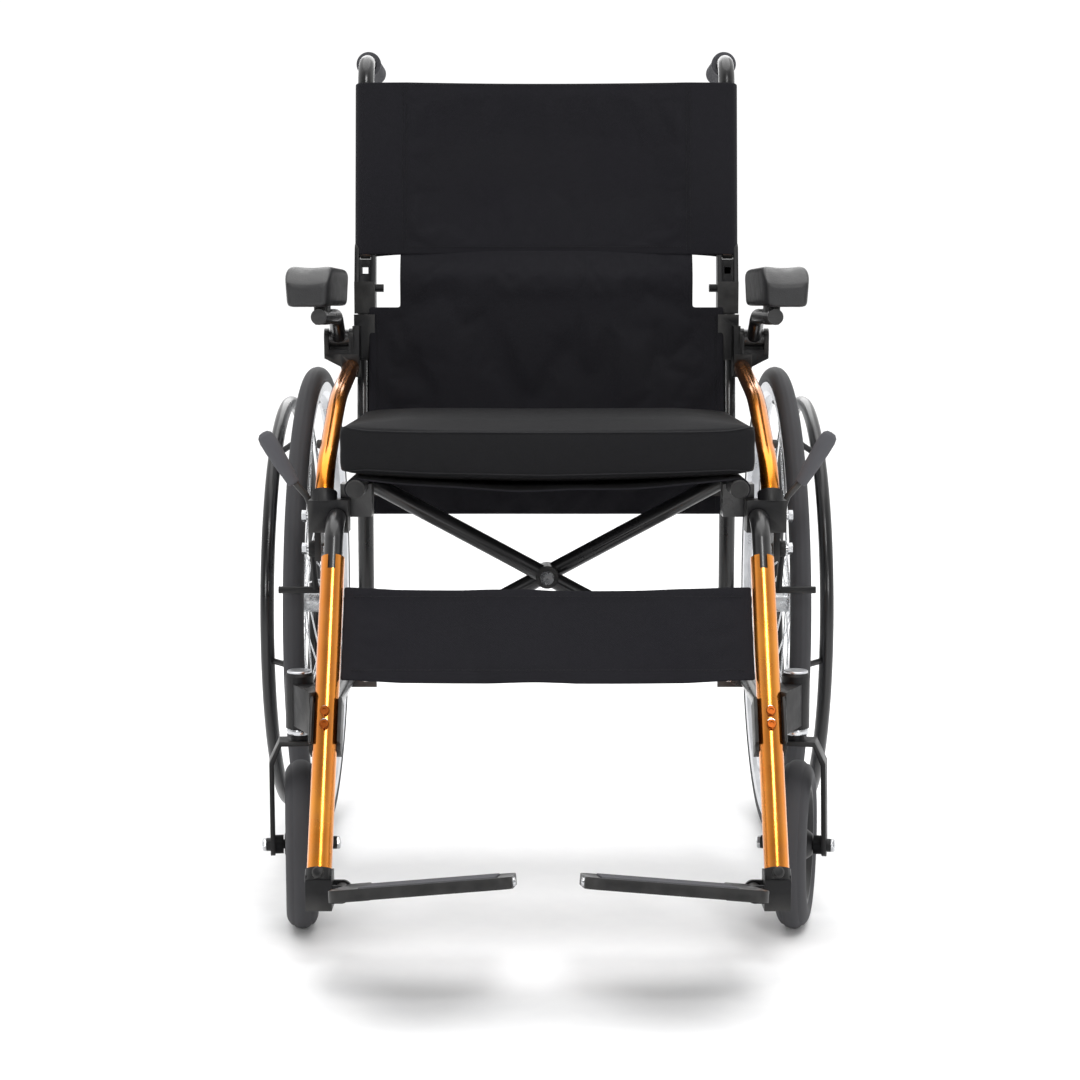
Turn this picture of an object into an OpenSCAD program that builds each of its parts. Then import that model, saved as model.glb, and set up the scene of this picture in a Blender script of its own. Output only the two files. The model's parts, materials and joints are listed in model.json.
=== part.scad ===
// Folding manual wheelchair with half-folding back, flip-back armrests and flip-up footplates.
// Millimetres. X to the sitter's left, Y to the rear, Z up. The origin is on the floor, midway
// between the two sides and midway between the footplate tips and the backs of the rear wheels.

/* [Frame] */
// Distance between the centrelines of the two side frames
frame_w = 456; // [440:2:480]
// Outside diameter of the frame, back and armrest tubes
tube_d = 20; // [18:1:22]
// Outside diameter of the leg tubes
leg_d = 25; // [24:1:28]
// Height of the upper frame rail's centreline
upper_rail_z = 438; // [430:1:444]
// Height of the lower frame rail's centreline
lower_rail_z = 246; // [240:1:250]
// Slope of the leg tubes from vertical, in degrees
leg_slope = 30; // [28:1:31]

/* [Seat and back] */
// Height of the folding seat rails' centreline
seat_rail_z = 470; // [468:1:474]
// Depth of the cushion, front to back
cushion_l = 362; // [340:2:364]
// Thickness of the cushion
cushion_t = 57; // [40:1:60]
// Width of the cushion
cushion_w = 456; // [430:2:456]
// Slope of the back from vertical, in degrees
recline = 8; // [6:1:10]
// Height of the pin that lets the back fold down
back_pin_z = 733; // [728:1:738]
// Height of the push handles' centreline
handle_z = 974; // [960:2:990]

/* [Wheels] */
// Outside diameter of the rear wheels
wheel_d = 590; // [580:2:600]
// Width of the rear tyres
tyre_w = 24; // [22:1:26]
// Diameter of the hand rims, measured at their tube's centre
hand_rim_d = 500; // [480:2:510]
// Diameter of the caster wheels
caster_d = 180; // [172:2:180]
// Width of the caster tyres
caster_w = 34; // [28:1:36]
// How far the left caster is turned at rest, in degrees
left_steer = -12; // [-15:1:15]
// How far the right caster is turned at rest, in degrees
right_steer = 7; // [-15:1:15]

/* [Footplates and armrests] */
// Length of a footplate, side to side
footplate_l = 172; // [150:2:174]
// Depth of a footplate, front to back
footplate_w = 138; // [120:2:142]
// How far the footplates tip up at the toe, in degrees
toe_up = 14; // [8:1:15]
// Width of an armrest pad
pad_w = 54; // [44:1:56]
// Length of an armrest pad
pad_l = 246; // [220:2:250]

/* [Hidden] */

$fn = 48;
gap = 0.3;              // clearance between parts that move past each other
run = 0.05;             // radial clearance of a pin in its hole
black = "#1b1c1f";
orange = "#e08a1e";
silver = "#c9ccd0";
fabric = "#25262b";

// Every module below is drawn for the sitter's left side, with y = 0 at the rear axle.
axle_y = 222;           // from the origin back to the rear axle
fx = frame_w / 2;       // side frame's plane
tr = tube_d / 2;
lr = leg_d / 2;
wheel_r = wheel_d / 2;

// Leg tube: a straight line through leg_top, sloping down and forward
leg_top = [fx - 1, -424, 400];
leg_dir = [0, -sin(leg_slope), -cos(leg_slope)];
leg_len = 344;
function leg_at(z) = leg_top + leg_dir * (leg_top[2] - z) / cos(leg_slope);

// Back line: upright to bend_z, then leaning back by recline
bend_z = 480;
function back_y(z) = max(0, z - bend_z) * tan(recline);

// Scissor fold: lower pivots, middle pivot and seat rails
pivot_x = 206;
pivot_z = 248;
cross_z = (pivot_z + seat_rail_z) / 2;
cross_a_y = -236;
cross_b_y = cross_a_y - tube_d - 2;
rail_front = -388;
rail_rear = -34;
pin_r = 4;

// Armrest
arm_x = 257;
arm_pin = [arm_x, -20, 627];
arm_z = 653;
pad_x = 269.2;
pad_front = -268;
pad_t = 50;

// Brake
brake_x = 256;
lever_pin = [brake_x, -336, 436];
shoe_pin = [brake_x, -336, 400];
shoe_y = -306;
shoe_z = 350;

// Caster
stem_x = 261;
stem_y = -450;
trail = 31;
barrel_low = 224;
barrel_top = 279.5;

// Footplate
hinge_x = 205;
hinge_z = 86;
plate_rise = 4.6;
plate_t = 12;
lug_t = 4;
knuckle = 15.2;

// Rear wheel
wheel_x = 287;
hand_rim_x = 321;
hand_rim_tube_r = 8;
axle_r = 6.35;
rim_r = 273;

cushion_z = 484.4;
cushion_back = -30;

// ---------------------------------------------------------------- helpers

function unit(v) = v / norm(v);

// A round bar from p to q
module bar(p, q, r) {
    v = q - p;
    translate(p) rotate([0, acos(v[2] / norm(v)), atan2(v[1], v[0])]) cylinder(h = norm(v), r = r);
}

// The distance from a corner to where its bend begins
function setback(a, b, c, bend) = bend * tan(acos(unit(b - a) * unit(c - b)) / 2);

bend_swell = 0.1;       // a tube thickens a little where it is bent
bend_overlap = 1.5;     // how far a straight runs on into its bend

// The arc of a bend at corner b, between the lines a-b and b-c
module elbow(a, b, c, bend, r) {
    s = setback(a, b, c, bend);
    p = b - unit(b - a) * s;
    q = b + unit(c - b) * s;
    inward = unit(unit(c - b) - unit(b - a));
    centre = b + inward * norm([bend, s]);
    ex = unit(p - centre);
    ez = unit(cross(p - centre, q - centre));
    ey = cross(ez, ex);
    turn = acos(unit(p - centre) * unit(q - centre));
    multmatrix([
        [ex[0], ey[0], ez[0], centre[0]],
        [ex[1], ey[1], ez[1], centre[1]],
        [ex[2], ey[2], ez[2], centre[2]],
        [0, 0, 0, 1]
    ])
        rotate_extrude(angle = turn, $fn = 96) translate([bend, 0]) circle(r = r + bend_swell, $fn = 32);
}

// A bent bar through the corners in path, with one bend radius for each inner corner
module bent_bar(path, bends, r) {
    n = len(path);
    for (i = [0 : n - 2]) {
        s0 = i == 0 ? 0 : setback(path[i - 1], path[i], path[i + 1], bends[i - 1]) - bend_overlap;
        s1 = i == n - 2 ? 0 : setback(path[i], path[i + 1], path[i + 2], bends[i]) - bend_overlap;
        d = unit(path[i + 1] - path[i]);
        bar(path[i] + d * s0, path[i + 1] - d * s1, r);
    }
    for (i = [1 : n - 2]) elbow(path[i - 1], path[i], path[i + 1], bends[i - 1], r);
}

// A cylinder along X, centred on c, of length l
module x_disc(c, l, r) {
    translate(c) rotate([0, 90, 0]) cylinder(h = l, r = r, center = true);
}

// A cylinder along Y, centred on c, of length l
module y_disc(c, l, r) {
    translate(c) rotate([90, 0, 0]) cylinder(h = l, r = r, center = true);
}

// A ring about the X axis through c: points are [radius, x] pairs of its section
module x_ring(c, points) {
    translate(c) rotate([0, 90, 0]) rotate_extrude($fn = 128) polygon(points);
}

// A box from corner a to corner b
module block(a, b) {
    translate(a) cube(b - a);
}

// ---------------------------------------------------------------- side frame

cane_joint_z = 668;

module rear_upright() {
    color(black) difference() {
        union() {
            bent_bar([[fx, 0, 214], [fx, 0, bend_z], [fx, back_y(cane_joint_z), cane_joint_z]], [140], tr);
            x_disc([fx + 3, 0, wheel_r], 30, 15);
            translate([fx, 0, 208]) cylinder(h = 8, r = tr + 1);
        }
        x_disc([fx, 0, wheel_r], 80, axle_r + run);
    }
}

// U-shaped rest that the folding seat rail drops into from above
module rail_saddle(y) {
    difference() {
        block([pivot_x - 14, y - 16, upper_rail_z - 2], [fx - 2, y + 16, seat_rail_z + 2]);
        y_disc([pivot_x, y, seat_rail_z], 40, tr + gap + 0.2);
        block([pivot_x - tr - gap - 0.2, y - 20, seat_rail_z], [pivot_x + tr + gap + 0.2, y + 20, seat_rail_z + 20]);
        y_disc([fx, y, upper_rail_z], 40, tr - 1);
    }
}

rail_corner = leg_at(upper_rail_z);

module upper_rail() {
    color(black) {
        bent_bar([[fx - 1, -tr - gap, upper_rail_z], rail_corner, leg_at(330)], [40], tr);
        for (y = [-78, -330]) rail_saddle(y);
    }
}

clevis_y = (cross_a_y + cross_b_y) / 2;
clevis_half = 28;
clevis_t = 6;

module lower_rail() {
    color(black) difference() {
        union() {
            bar([fx, -tr, lower_rail_z], [fx, -488, lower_rail_z], tr);
            for (y = [clevis_y - clevis_half, clevis_y + clevis_half - clevis_t])
                block([pivot_x - 12, y, pivot_z - 14], [fx - 4, y + clevis_t, pivot_z + 14]);
        }
        y_disc([pivot_x, clevis_y, pivot_z], 80, pin_r + run);
    }
}

arch_x = 242;
arch_bend = [arch_x, -345, 490];
arch_foot = [arch_x, -364, 455];
arch_up = unit(arch_bend - arch_foot);

module arch_tube() {
    color(orange)
        bent_bar([[arch_x, -18, 592], [arch_x, -200, 560], arch_bend, arch_foot], [260, 90], tr);
}

module leg_tube() {
    end = leg_top + leg_dir * leg_len;
    color(orange) difference() {
        bar(leg_top, end, lr);
        bar(leg_top - leg_dir, end + leg_dir, tr + run);
        translate(leg_top) rotate([-leg_slope, 0, 0]) block([-4, -lr - 1, -16], [4, -tr + 1, 1]);
    }
}

module brake_mount() {
    color(black) difference() {
        union() {
            block([fx - 13, -378, upper_rail_z - 16], [fx + 30, -349, upper_rail_z + 19]);
            bar(arch_foot - arch_up * 6, arch_foot + arch_up * 10.2, tr + 4);
            block([brake_x - 9, -354, 388], [brake_x - 2, -318, 450]);
        }
        bar(arch_foot, arch_bend, tr);
        y_disc([fx - 1, -364, upper_rail_z], 60, tr);
        for (p = [lever_pin, shoe_pin]) x_disc(p, 30, pin_r + run);
    }
}

// Clamp half behind the leg tube, with a web out to the caster's barrel
module caster_housing() {
    top = leg_at(264);
    low = leg_at(216);
    saddle_w = leg_d + 7;
    color(black) difference() {
        union() {
            translate(top) rotate([-leg_slope, 0, 0])
                block([-saddle_w / 2, -2, -norm(top - low)], [saddle_w / 2, lr + 9, 0]);
            block([fx - 10, -500, lower_rail_z - 13], [fx + 12, -474, lower_rail_z + 13]);
            translate([0, 0, barrel_low + 4]) linear_extrude(44)
                polygon([[stem_x - 14, stem_y], [stem_x + 9, stem_y - 6], [leg_top[0] + 17, -512], [leg_top[0] - 4, -488]]);
            translate([stem_x, stem_y, barrel_low]) cylinder(h = barrel_top - barrel_low, r = 15);
            translate([stem_x, stem_y, barrel_top]) cylinder(h = 4, r1 = 15, r2 = 12);
        }
        bar(top - leg_dir * 30, low + leg_dir * 30, lr);
        y_disc([fx, -480, lower_rail_z], 28, tr);
        translate([stem_x, stem_y, barrel_low - 1]) cylinder(h = 45, r = 6 + run);
    }
}

// Yoke on the lower cane that carries the back's folding pin
module back_hinge() {
    y0 = back_y(back_pin_z);
    yl = back_y(672);
    color(black) difference() {
        union() {
            block([fx - 13, yl - 14, 656], [fx + 13, yl + 14, 696]);
            for (x = [fx - 13, fx + 7.5])
                hull() {
                    x_disc([x + 2.75, y0, back_pin_z], 5.5, 11);
                    block([x, yl - 12, 680], [x + 5.5, yl + 12, 690]);
                }
            block([fx - 12, yl - 2, 690], [fx + 12, yl + 12, back_pin_z - 9]);
            x_disc([fx - 18, yl, 688], 10, 5);
            x_disc([fx, y0, back_pin_z], 27, pin_r);
        }
        bar([fx, back_y(640), 640], [fx, back_y(cane_joint_z), cane_joint_z], tr);
        block([fx - 4, 0, 706], [fx + 4, 60, 714]);
    }
}

module arm_bracket() {
    yc = back_y(627);
    color(black) difference() {
        union() {
            block([fx - 13, yc - 15, 598], [fx + 13, yc + 15, 655]);
            block([fx + 4, -28, 601], [fx + 12, yc, 641]);
            block([fx + 4, -34, 578], [fx + 26, -12, 606]);
            // gusset out to the armrest's fork, and the web behind its knuckle
            translate([0, -12, 0]) rotate([90, 0, 0]) linear_extrude(17)
                polygon([[fx + 10, 582], [arm_x + 18, 601], [arm_x + 18, 612], [fx + 10, 612]]);
            block([arm_x - 17, -11.2, 605], [arm_x + 17, -5, 621]);
            for (x = [arm_x - 18, arm_x + 12.5])
                hull() {
                    x_disc([x + 2.75, arm_pin[1], arm_pin[2]], 5.5, 11);
                    block([x, -30, 606], [x + 5.5, -10, 612]);
                }
            x_disc(arm_pin + [-0.5, 0, 0], 36, pin_r);
        }
        bar([fx, back_y(590), 590], [fx, back_y(665), 665], tr);
        bar([arch_x, -36, 588.8], [arch_x, -18, 592], tr);
    }
}

module hex_head(c, l, r) {
    translate(c) rotate([0, 90, 0]) cylinder(h = l, r = r, center = true, $fn = 6);
}

module frame_bolts() {
    color(silver) {
        // lower pivot of the scissor brace
        y_disc([pivot_x, clevis_y, pivot_z], 2 * clevis_half + 4, pin_r);
        for (s = [-1, 1]) y_disc([pivot_x, clevis_y + s * (clevis_half + 2.6), pivot_z], 5, 7);
        // brake pivots
        for (p = [lever_pin, shoe_pin]) {
            x_disc(p + [-1, 0, 0], 20, pin_r);
            hex_head(p + [-12, 0, 0], 5, 6.5);
            hex_head(p + [11, 0, 0], 5, 6.5);
        }
        // leg clamp bolts
        for (z = [250, 238]) {
            p = leg_at(z);
            n = [0, -cos(leg_slope), sin(leg_slope)];
            bar(p + n * (lr + gap / 3), p + n * (lr + 3), 4);
        }
        // armrest bracket bolts
        for (z = [612, 640]) x_disc([fx - 14.5, back_y(627), z], 3, 5);
    }
}

// ---------------------------------------------------------------- folding back

module back_cane() {
    p = [fx, back_y(back_pin_z), back_pin_z];
    corner_y = back_y(handle_z);
    lean = [0, sin(recline), cos(recline)];
    color(black) difference() {
        union() {
            bent_bar([p + lean * 17, [fx, corner_y, handle_z], [fx, corner_y + 150, handle_z]], [34], tr);
            translate(p) rotate([-recline, 0, 0]) block([-6.2, -8, 0], [6.2, 8, 20]);
            x_disc(p, 12.4, 8.5);
        }
        x_disc(p, 40, pin_r + run);
    }
}

module push_grip() {
    y0 = back_y(handle_z) + 40;
    color("#3a3c40") difference() {
        union() {
            y_disc([fx, y0 + 57, handle_z], 114, 14);
            for (i = [0 : 7]) y_disc([fx, y0 + 10 + i * 13, handle_z], 7, 15);
            y_disc([fx, y0 + 2, handle_z], 5, 16);
        }
        y_disc([fx, y0 + 54.5, handle_z], 112, tr);
    }
}

// ---------------------------------------------------------------- armrest

module armrest_frame() {
    color(black) difference() {
        union() {
            bent_bar([arm_pin + [0, -6, 1.5], [arm_x, -66, arm_z], [arm_x, -256, arm_z]], [40], 9);
            x_disc(arm_pin, 24.4, 10);
        }
        x_disc(arm_pin, 40, pin_r + run);
    }
}

module armrest_pad() {
    color(black) translate([pad_x - pad_w / 2, pad_front, arm_z + 9.2])
        rotate([90, 0, 90]) linear_extrude(pad_w) polygon([
            [6, 0], [pad_l - 12, 0], [pad_l, 10], [pad_l, 40], [pad_l - 8, pad_t],
            [40, pad_t], [10, pad_t - 4], [0, pad_t - 14], [0, 8]
        ]);
}

// ---------------------------------------------------------------- brake

grip_end = [309, -344, 526];
grip_foot = [278, -340, 474];
grip_dir = unit(grip_end - grip_foot);

module brake_lever() {
    foot = lever_pin + [3.2, 0, 9];
    color(black) difference() {
        union() {
            x_disc(lever_pin + [2.2, 0, 0], 7, 9);
            bar(foot, grip_foot + (grip_end - grip_foot) * 0.3, 4);
            bar(grip_foot, grip_end, 9);
            bar(grip_end - grip_dir, grip_end + grip_dir * 3, 7);
        }
        x_disc(lever_pin, 30, pin_r + run);
    }
}

module brake_shoe() {
    color(black) difference() {
        union() {
            x_disc(shoe_pin + [2.2, 0, 0], 7, 9);
            bar(shoe_pin + [2.5, 2, -5], [brake_x + 2.5, shoe_y, shoe_z], 3.4);
            x_disc([(243 + 300) / 2, shoe_y, shoe_z], 300 - 243, 4);
        }
        x_disc(shoe_pin, 30, pin_r + run);
    }
}

// ---------------------------------------------------------------- footplate

foot_z = 114;           // the height at which the footplate bracket holds the leg tube
foot = leg_at(foot_z);

module footplate_bracket() {
    color(black) difference() {
        union() {
            block([fx - 14, foot[1] - 14, 70], [fx + 12, foot[1] + 13, 106]);
            translate(foot + leg_dir * 18) rotate([-leg_slope, 0, 0]) cylinder(h = 12, r = lr + 1.5);
            for (s = [-1, 1]) {
                y = foot[1] + s * (knuckle + lug_t + 1) / 2;
                block([hinge_x, y - lug_t / 2, hinge_z - 9], [fx - 13, y + lug_t / 2, hinge_z + 9]);
                y_disc([hinge_x, y, hinge_z], lug_t, 9);
            }
        }
        bar(foot - leg_dir * 30, foot + leg_dir * 14.5, lr);
        block([fx - 20, foot[1] - 30, 96], [fx - 14, foot[1] + 14, 112]);
        y_disc([hinge_x, foot[1], hinge_z], 60, pin_r + run);
    }
}

module plate_outline(inset) {
    r = 14 - inset;
    translate([-3 - footplate_l + inset + r, -13.5 - footplate_w + inset + r]) offset(r = r, $fn = 24)
        square([footplate_l - 2 * inset - 2 * r, footplate_w - 2 * inset - 2 * r]);
}

module footplate() {
    color(black) {
        translate([hinge_x, foot[1], hinge_z]) rotate([0, plate_rise, 0]) {
            block([-26, -knuckle / 2, -6], [0, knuckle / 2, 5]);
            y_disc([0, 0, 0], knuckle, 7);
            block([-26, -20, -6], [-10.5, 0, 5]);
            rotate([-toe_up, 0, 0]) difference() {
                translate([0, 0, -plate_t / 2]) linear_extrude(plate_t) plate_outline(0);
                translate([0, 0, -plate_t / 2 - 1]) linear_extrude(plate_t - 3) plate_outline(5);
            }
        }
        y_disc([hinge_x, foot[1], hinge_z], knuckle + 2 * lug_t + 6, pin_r);
    }
}

// ---------------------------------------------------------------- casters

module steered(turn) {
    translate([stem_x, stem_y, 0]) rotate([0, 0, turn]) translate([-stem_x, -stem_y, 0]) children();
}

caster_r = caster_d / 2;
caster_c = [stem_x, stem_y + trail, caster_r];
arm_in = 28;            // from the wheel's middle to the inside of a fork arm
axle_bolt_r = 5;

module caster_fork() {
    color(black) {
        translate([stem_x, stem_y, barrel_low - 7]) cylinder(h = 6.5, r = 12);
        translate([stem_x, stem_y, barrel_low - 14]) cylinder(h = 8, r = 10);
        translate([stem_x, stem_y, barrel_low - 10]) cylinder(h = 50, r = 6);
        block([stem_x - 22, stem_y - 14, barrel_low - 18], [stem_x + 22, stem_y + 16, barrel_low - 13]);
        for (s = [-1, 1]) {
            hull() {
                block_c([stem_x + s * 21, stem_y + 1, barrel_low - 15.5], [2, 30, 5]);
                block_c([stem_x + s * (arm_in + 2.5), stem_y + 6, barrel_low - 38], [5, 28, 2]);
            }
            hull() {
                block_c([stem_x + s * (arm_in + 2.5), stem_y + 6, barrel_low - 38], [5, 28, 2]);
                x_disc(caster_c + [s * (arm_in + 2.5), 0, 0], 5, 12);
            }
            x_disc(caster_c + [s * (arm_in - 4.5), 0, 0], 9, 10);
            x_disc(caster_c + [s * (arm_in + 7), 0, 0], 5, 7);
        }
        x_disc(caster_c, 2 * arm_in, axle_bolt_r);
    }
}

module block_c(c, size) {
    translate(c) cube(size, center = true);
}

module caster_hub() {
    c = caster_c;
    w = caster_w / 2;
    color("#2c2d31") x_ring(c, [
        [axle_bolt_r + run, -w - 1], [12, -w - 1], [16, -w + 4], [54, -w + 8], [60, -w + 3], [64, -w + 3],
        [64, w - 3], [60, w - 3], [54, w - 8], [16, w - 4], [12, w + 1], [axle_bolt_r + run, w + 1]
    ]);
}

module caster_tyre() {
    w = caster_w / 2;
    color("#17181a") translate(caster_c) rotate([0, 90, 0]) rotate_extrude($fn = 128) intersection() {
        translate([caster_r - w, 0]) circle(r = w, $fn = 48);
        translate([64, -w]) square([caster_r, caster_w]);
    }
}

// ---------------------------------------------------------------- rear wheels

axle_c = [wheel_x, 0, wheel_r];

module wheel_axle() {
    color(silver) {
        x_disc([(fx - 14 + wheel_x + 30) / 2, 0, wheel_r], wheel_x + 44 - fx, axle_r);
        x_disc([wheel_x + 33, 0, wheel_r], 5, 9);
    }
}

flange_x = 21;
spoke_pairs = 8;

module wheel_hub() {
    color(silver) {
        difference() {
            union() {
                x_disc(axle_c, 44, 15);
                x_disc(axle_c + [24, 0, 0], 12, 12);
                x_disc(axle_c - [22, 0, 0], 10, 12);
                for (s = [-1, 1]) x_disc(axle_c + [s * flange_x, 0, 0], 4, 25);
            }
            x_disc(axle_c, 90, axle_r + run);
        }
        // crossed spokes: each flange has leading spokes outside and trailing spokes inside
        for (s = [-1, 1], k = [0 : spoke_pairs - 1], lead = [-1, 1]) {
            a = (k + (s > 0 ? 0.5 : 0)) * 360 / spoke_pairs;
            b = a + lead * 68;
            bar(axle_c + [s * (flange_x + lead * 1.6), 22 * cos(a), 22 * sin(a)],
                axle_c + [s * 3, (rim_r - 14) * cos(b), (rim_r - 14) * sin(b)], 1);
        }
    }
}

module wheel_rim() {
    color(silver) x_ring(axle_c, [
        [rim_r - 13, -5], [rim_r - 8, -10], [rim_r + 3, -11], [rim_r + 3, -9.2], [rim_r - 1, -9],
        [rim_r - 1, 9], [rim_r + 3, 9.2], [rim_r + 3, 11], [rim_r - 8, 10], [rim_r - 13, 5]
    ]);
}

module wheel_tyre() {
    color("#17181a") translate(axle_c) rotate([0, 90, 0]) rotate_extrude($fn = 180) difference() {
        translate([wheel_r - tyre_w / 2, 0]) circle(r = tyre_w / 2, $fn = 48);
        translate([0, -20]) square([rim_r - 1, 40]);
        for (s = [-1, 1]) translate([0, s > 0 ? 9 : -20]) square([rim_r + 3.1, 11]);
    }
}

module hand_rim() {
    r = hand_rim_d / 2;
    color(black) {
        translate([hand_rim_x, 0, wheel_r]) rotate([0, 90, 0]) rotate_extrude($fn = 180)
            translate([r, 0]) circle(r = hand_rim_tube_r, $fn = 32);
        // stand-offs to the rim
        for (k = [0 : 5]) {
            a = k * 60 + 8;
            bar([hand_rim_x - 4, r * cos(a), wheel_r + r * sin(a)],
                [wheel_x + 11.2, (rim_r - 7) * cos(a), wheel_r + (rim_r - 7) * sin(a)], 3.5);
        }
    }
}

// ---------------------------------------------------------------- scissor brace

// One welded half: a cross tube from the lower pivot on the side -s to the seat rail on side s
module cross_brace(y, s) {
    d = unit([s * pivot_x, 0, cross_z - pivot_z]);
    low = [-s * pivot_x, y, pivot_z];
    high = [s * pivot_x, y, seat_rail_z];
    color(black) difference() {
        union() {
            bar(low + d * 4, high - d * 3, tr - 0.4);
            bar([s * pivot_x, rail_front, seat_rail_z], [s * pivot_x, rail_rear, seat_rail_z], tr);
            y_disc(low, 2 * tr + 0.6, tr + 0.5);
            y_disc([0, y, cross_z], 2 * tr + 0.6, tr + 3);
        }
        y_disc(low, 40, pin_r + run);
        y_disc([0, y, cross_z], 40, pin_r + run);
    }
}

module cross_bolt() {
    y = (cross_a_y + cross_b_y) / 2;
    color(silver) {
        y_disc([0, y, cross_z], 2 * tube_d + 8, pin_r);
        y_disc([0, y - tube_d - 5, cross_z], 5, 8);
        y_disc([0, y + tube_d + 5, cross_z], 5, 8);
    }
}

// ---------------------------------------------------------------- soft parts

sling_sag = 15;

module seat_sling() {
    top = seat_rail_z + tr + 4;
    half = pivot_x + 6;
    n = 16;
    function drop(x) = sling_sag * (1 - pow(x / half, 2));
    upper = [for (i = [-n : n]) [half * i / n, top - drop(half * i / n)]];
    under = [for (i = [n : -1 : -n]) [half * i / n, top - 2.6 - drop(half * i / n)]];
    color(fabric) translate([0, rail_rear - 2, 0]) rotate([90, 0, 0])
        linear_extrude(rail_rear - rail_front - 4) polygon(concat(upper, under));
}

module seat_cushion() {
    w = cushion_w / 2;
    color(fabric) block([-w, cushion_back - cushion_l, cushion_z], [w, cushion_back, cushion_z + cushion_t]);
}

back_top = 945;

module back_upper_panel() {
    p = [0, back_y(back_pin_z), back_pin_z];
    h = (back_top - back_pin_z) / cos(recline);
    color(fabric) translate(p) rotate([-recline, 0, 0]) difference() {
        union() {
            block([-fx, -tr - 8, 4], [fx, -tr - 2, h]);
            for (s = [-1, 1]) translate([s * fx, 0, 19]) cylinder(h = h - 19, r = tr + 2.4);
            for (s = [-1, 1]) block([s * (fx + 5) - 6.5, -tr - 8, 4], [s * (fx + 5) + 6.5, -tr - 2, h]);
        }
        for (s = [-1, 1]) translate([s * fx, 0, -5]) cylinder(h = h + 10, r = tr + gap);
    }
}

lower_panel_w = 213;
window_w = 184;
back_bottom = 406;

module back_lower_panel() {
    y = -tr - 8;
    h = (back_pin_z - bend_z) / cos(recline);
    wide_h = (664 - bend_z) / cos(recline);
    color(fabric) {
        block([-lower_panel_w, y, back_bottom], [lower_panel_w, y + 6, bend_z]);
        translate([0, 0, bend_z]) rotate([-recline, 0, 0]) {
            block([-lower_panel_w, y, -2], [lower_panel_w, y + 6, wide_h]);
            block([-window_w, y, -2], [window_w, y + 6, h]);
        }
    }
}

calf_top = leg_at(371);
calf_low = leg_at(281);

module calf_panel() {
    w = calf_top[0] - lr - 0.4;
    translate(calf_top) rotate([-leg_slope, 0, 0]) color(fabric)
        block([-w - calf_top[0], -2, -norm(calf_top - calf_low)], [w - calf_top[0], 3, 0]);
}

// ---------------------------------------------------------------- assembly

// Places a part drawn for the sitter's left side; side is 1 for left and -1 for right
module place(side) {
    translate([0, axle_y, 0]) mirror([side > 0 ? 0 : 1, 0, 0]) children();
}

place(1) rear_upright();  // left_rear_upright
place(1) upper_rail();  // left_upper_rail
place(1) lower_rail();  // left_lower_rail
place(1) arch_tube();  // left_arch_tube
place(1) leg_tube();  // left_leg_tube
place(1) brake_mount();  // left_brake_mount
place(1) caster_housing();  // left_caster_housing
place(1) back_hinge();  // left_back_hinge
place(1) arm_bracket();  // left_arm_bracket
place(1) frame_bolts();  // left_frame_bolts
place(1) back_cane();  // left_back_cane
place(1) push_grip();  // left_push_grip
place(1) armrest_frame();  // left_armrest_frame
place(1) armrest_pad();  // left_armrest_pad
place(1) brake_lever();  // left_brake_lever
place(1) brake_shoe();  // left_brake_shoe
place(1) footplate_bracket();  // left_footplate_bracket
place(1) footplate();  // left_footplate
place(1) steered(left_steer) caster_fork();  // left_caster_fork
place(1) steered(left_steer) caster_hub();  // left_caster_hub
place(1) steered(left_steer) caster_tyre();  // left_caster_tyre
place(1) wheel_axle();  // left_wheel_axle
place(1) wheel_hub();  // left_wheel_hub
place(1) wheel_rim();  // left_wheel_rim
place(1) wheel_tyre();  // left_wheel_tyre
place(1) hand_rim();  // left_hand_rim
place(-1) rear_upright();  // right_rear_upright
place(-1) upper_rail();  // right_upper_rail
place(-1) lower_rail();  // right_lower_rail
place(-1) arch_tube();  // right_arch_tube
place(-1) leg_tube();  // right_leg_tube
place(-1) brake_mount();  // right_brake_mount
place(-1) caster_housing();  // right_caster_housing
place(-1) back_hinge();  // right_back_hinge
place(-1) arm_bracket();  // right_arm_bracket
place(-1) frame_bolts();  // right_frame_bolts
place(-1) back_cane();  // right_back_cane
place(-1) push_grip();  // right_push_grip
place(-1) armrest_frame();  // right_armrest_frame
place(-1) armrest_pad();  // right_armrest_pad
place(-1) brake_lever();  // right_brake_lever
place(-1) brake_shoe();  // right_brake_shoe
place(-1) footplate_bracket();  // right_footplate_bracket
place(-1) footplate();  // right_footplate
place(-1) steered(-right_steer) caster_fork();  // right_caster_fork
place(-1) steered(-right_steer) caster_hub();  // right_caster_hub
place(-1) steered(-right_steer) caster_tyre();  // right_caster_tyre
place(-1) wheel_axle();  // right_wheel_axle
place(-1) wheel_hub();  // right_wheel_hub
place(-1) wheel_rim();  // right_wheel_rim
place(-1) wheel_tyre();  // right_wheel_tyre
place(-1) hand_rim();  // right_hand_rim
place(1) cross_brace(cross_a_y, 1);  // cross_brace_a
place(1) cross_brace(cross_b_y, -1);  // cross_brace_b
place(1) cross_bolt();
place(1) seat_sling();
place(1) seat_cushion();
place(1) back_upper_panel();
place(1) back_lower_panel();
place(1) calf_panel();
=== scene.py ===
"""Looks of a folding manual wheelchair, built around its CAD frame.

Lengths are in metres. X points to the sitter's left, Y to the rear and Z up.
"""

import json
import logging
import math
from contextlib import contextmanager
from dataclasses import dataclass, field
from enum import Enum
from typing import Callable, Iterator, Sequence

import bpy
from mathutils import Matrix, Vector, noise


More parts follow.
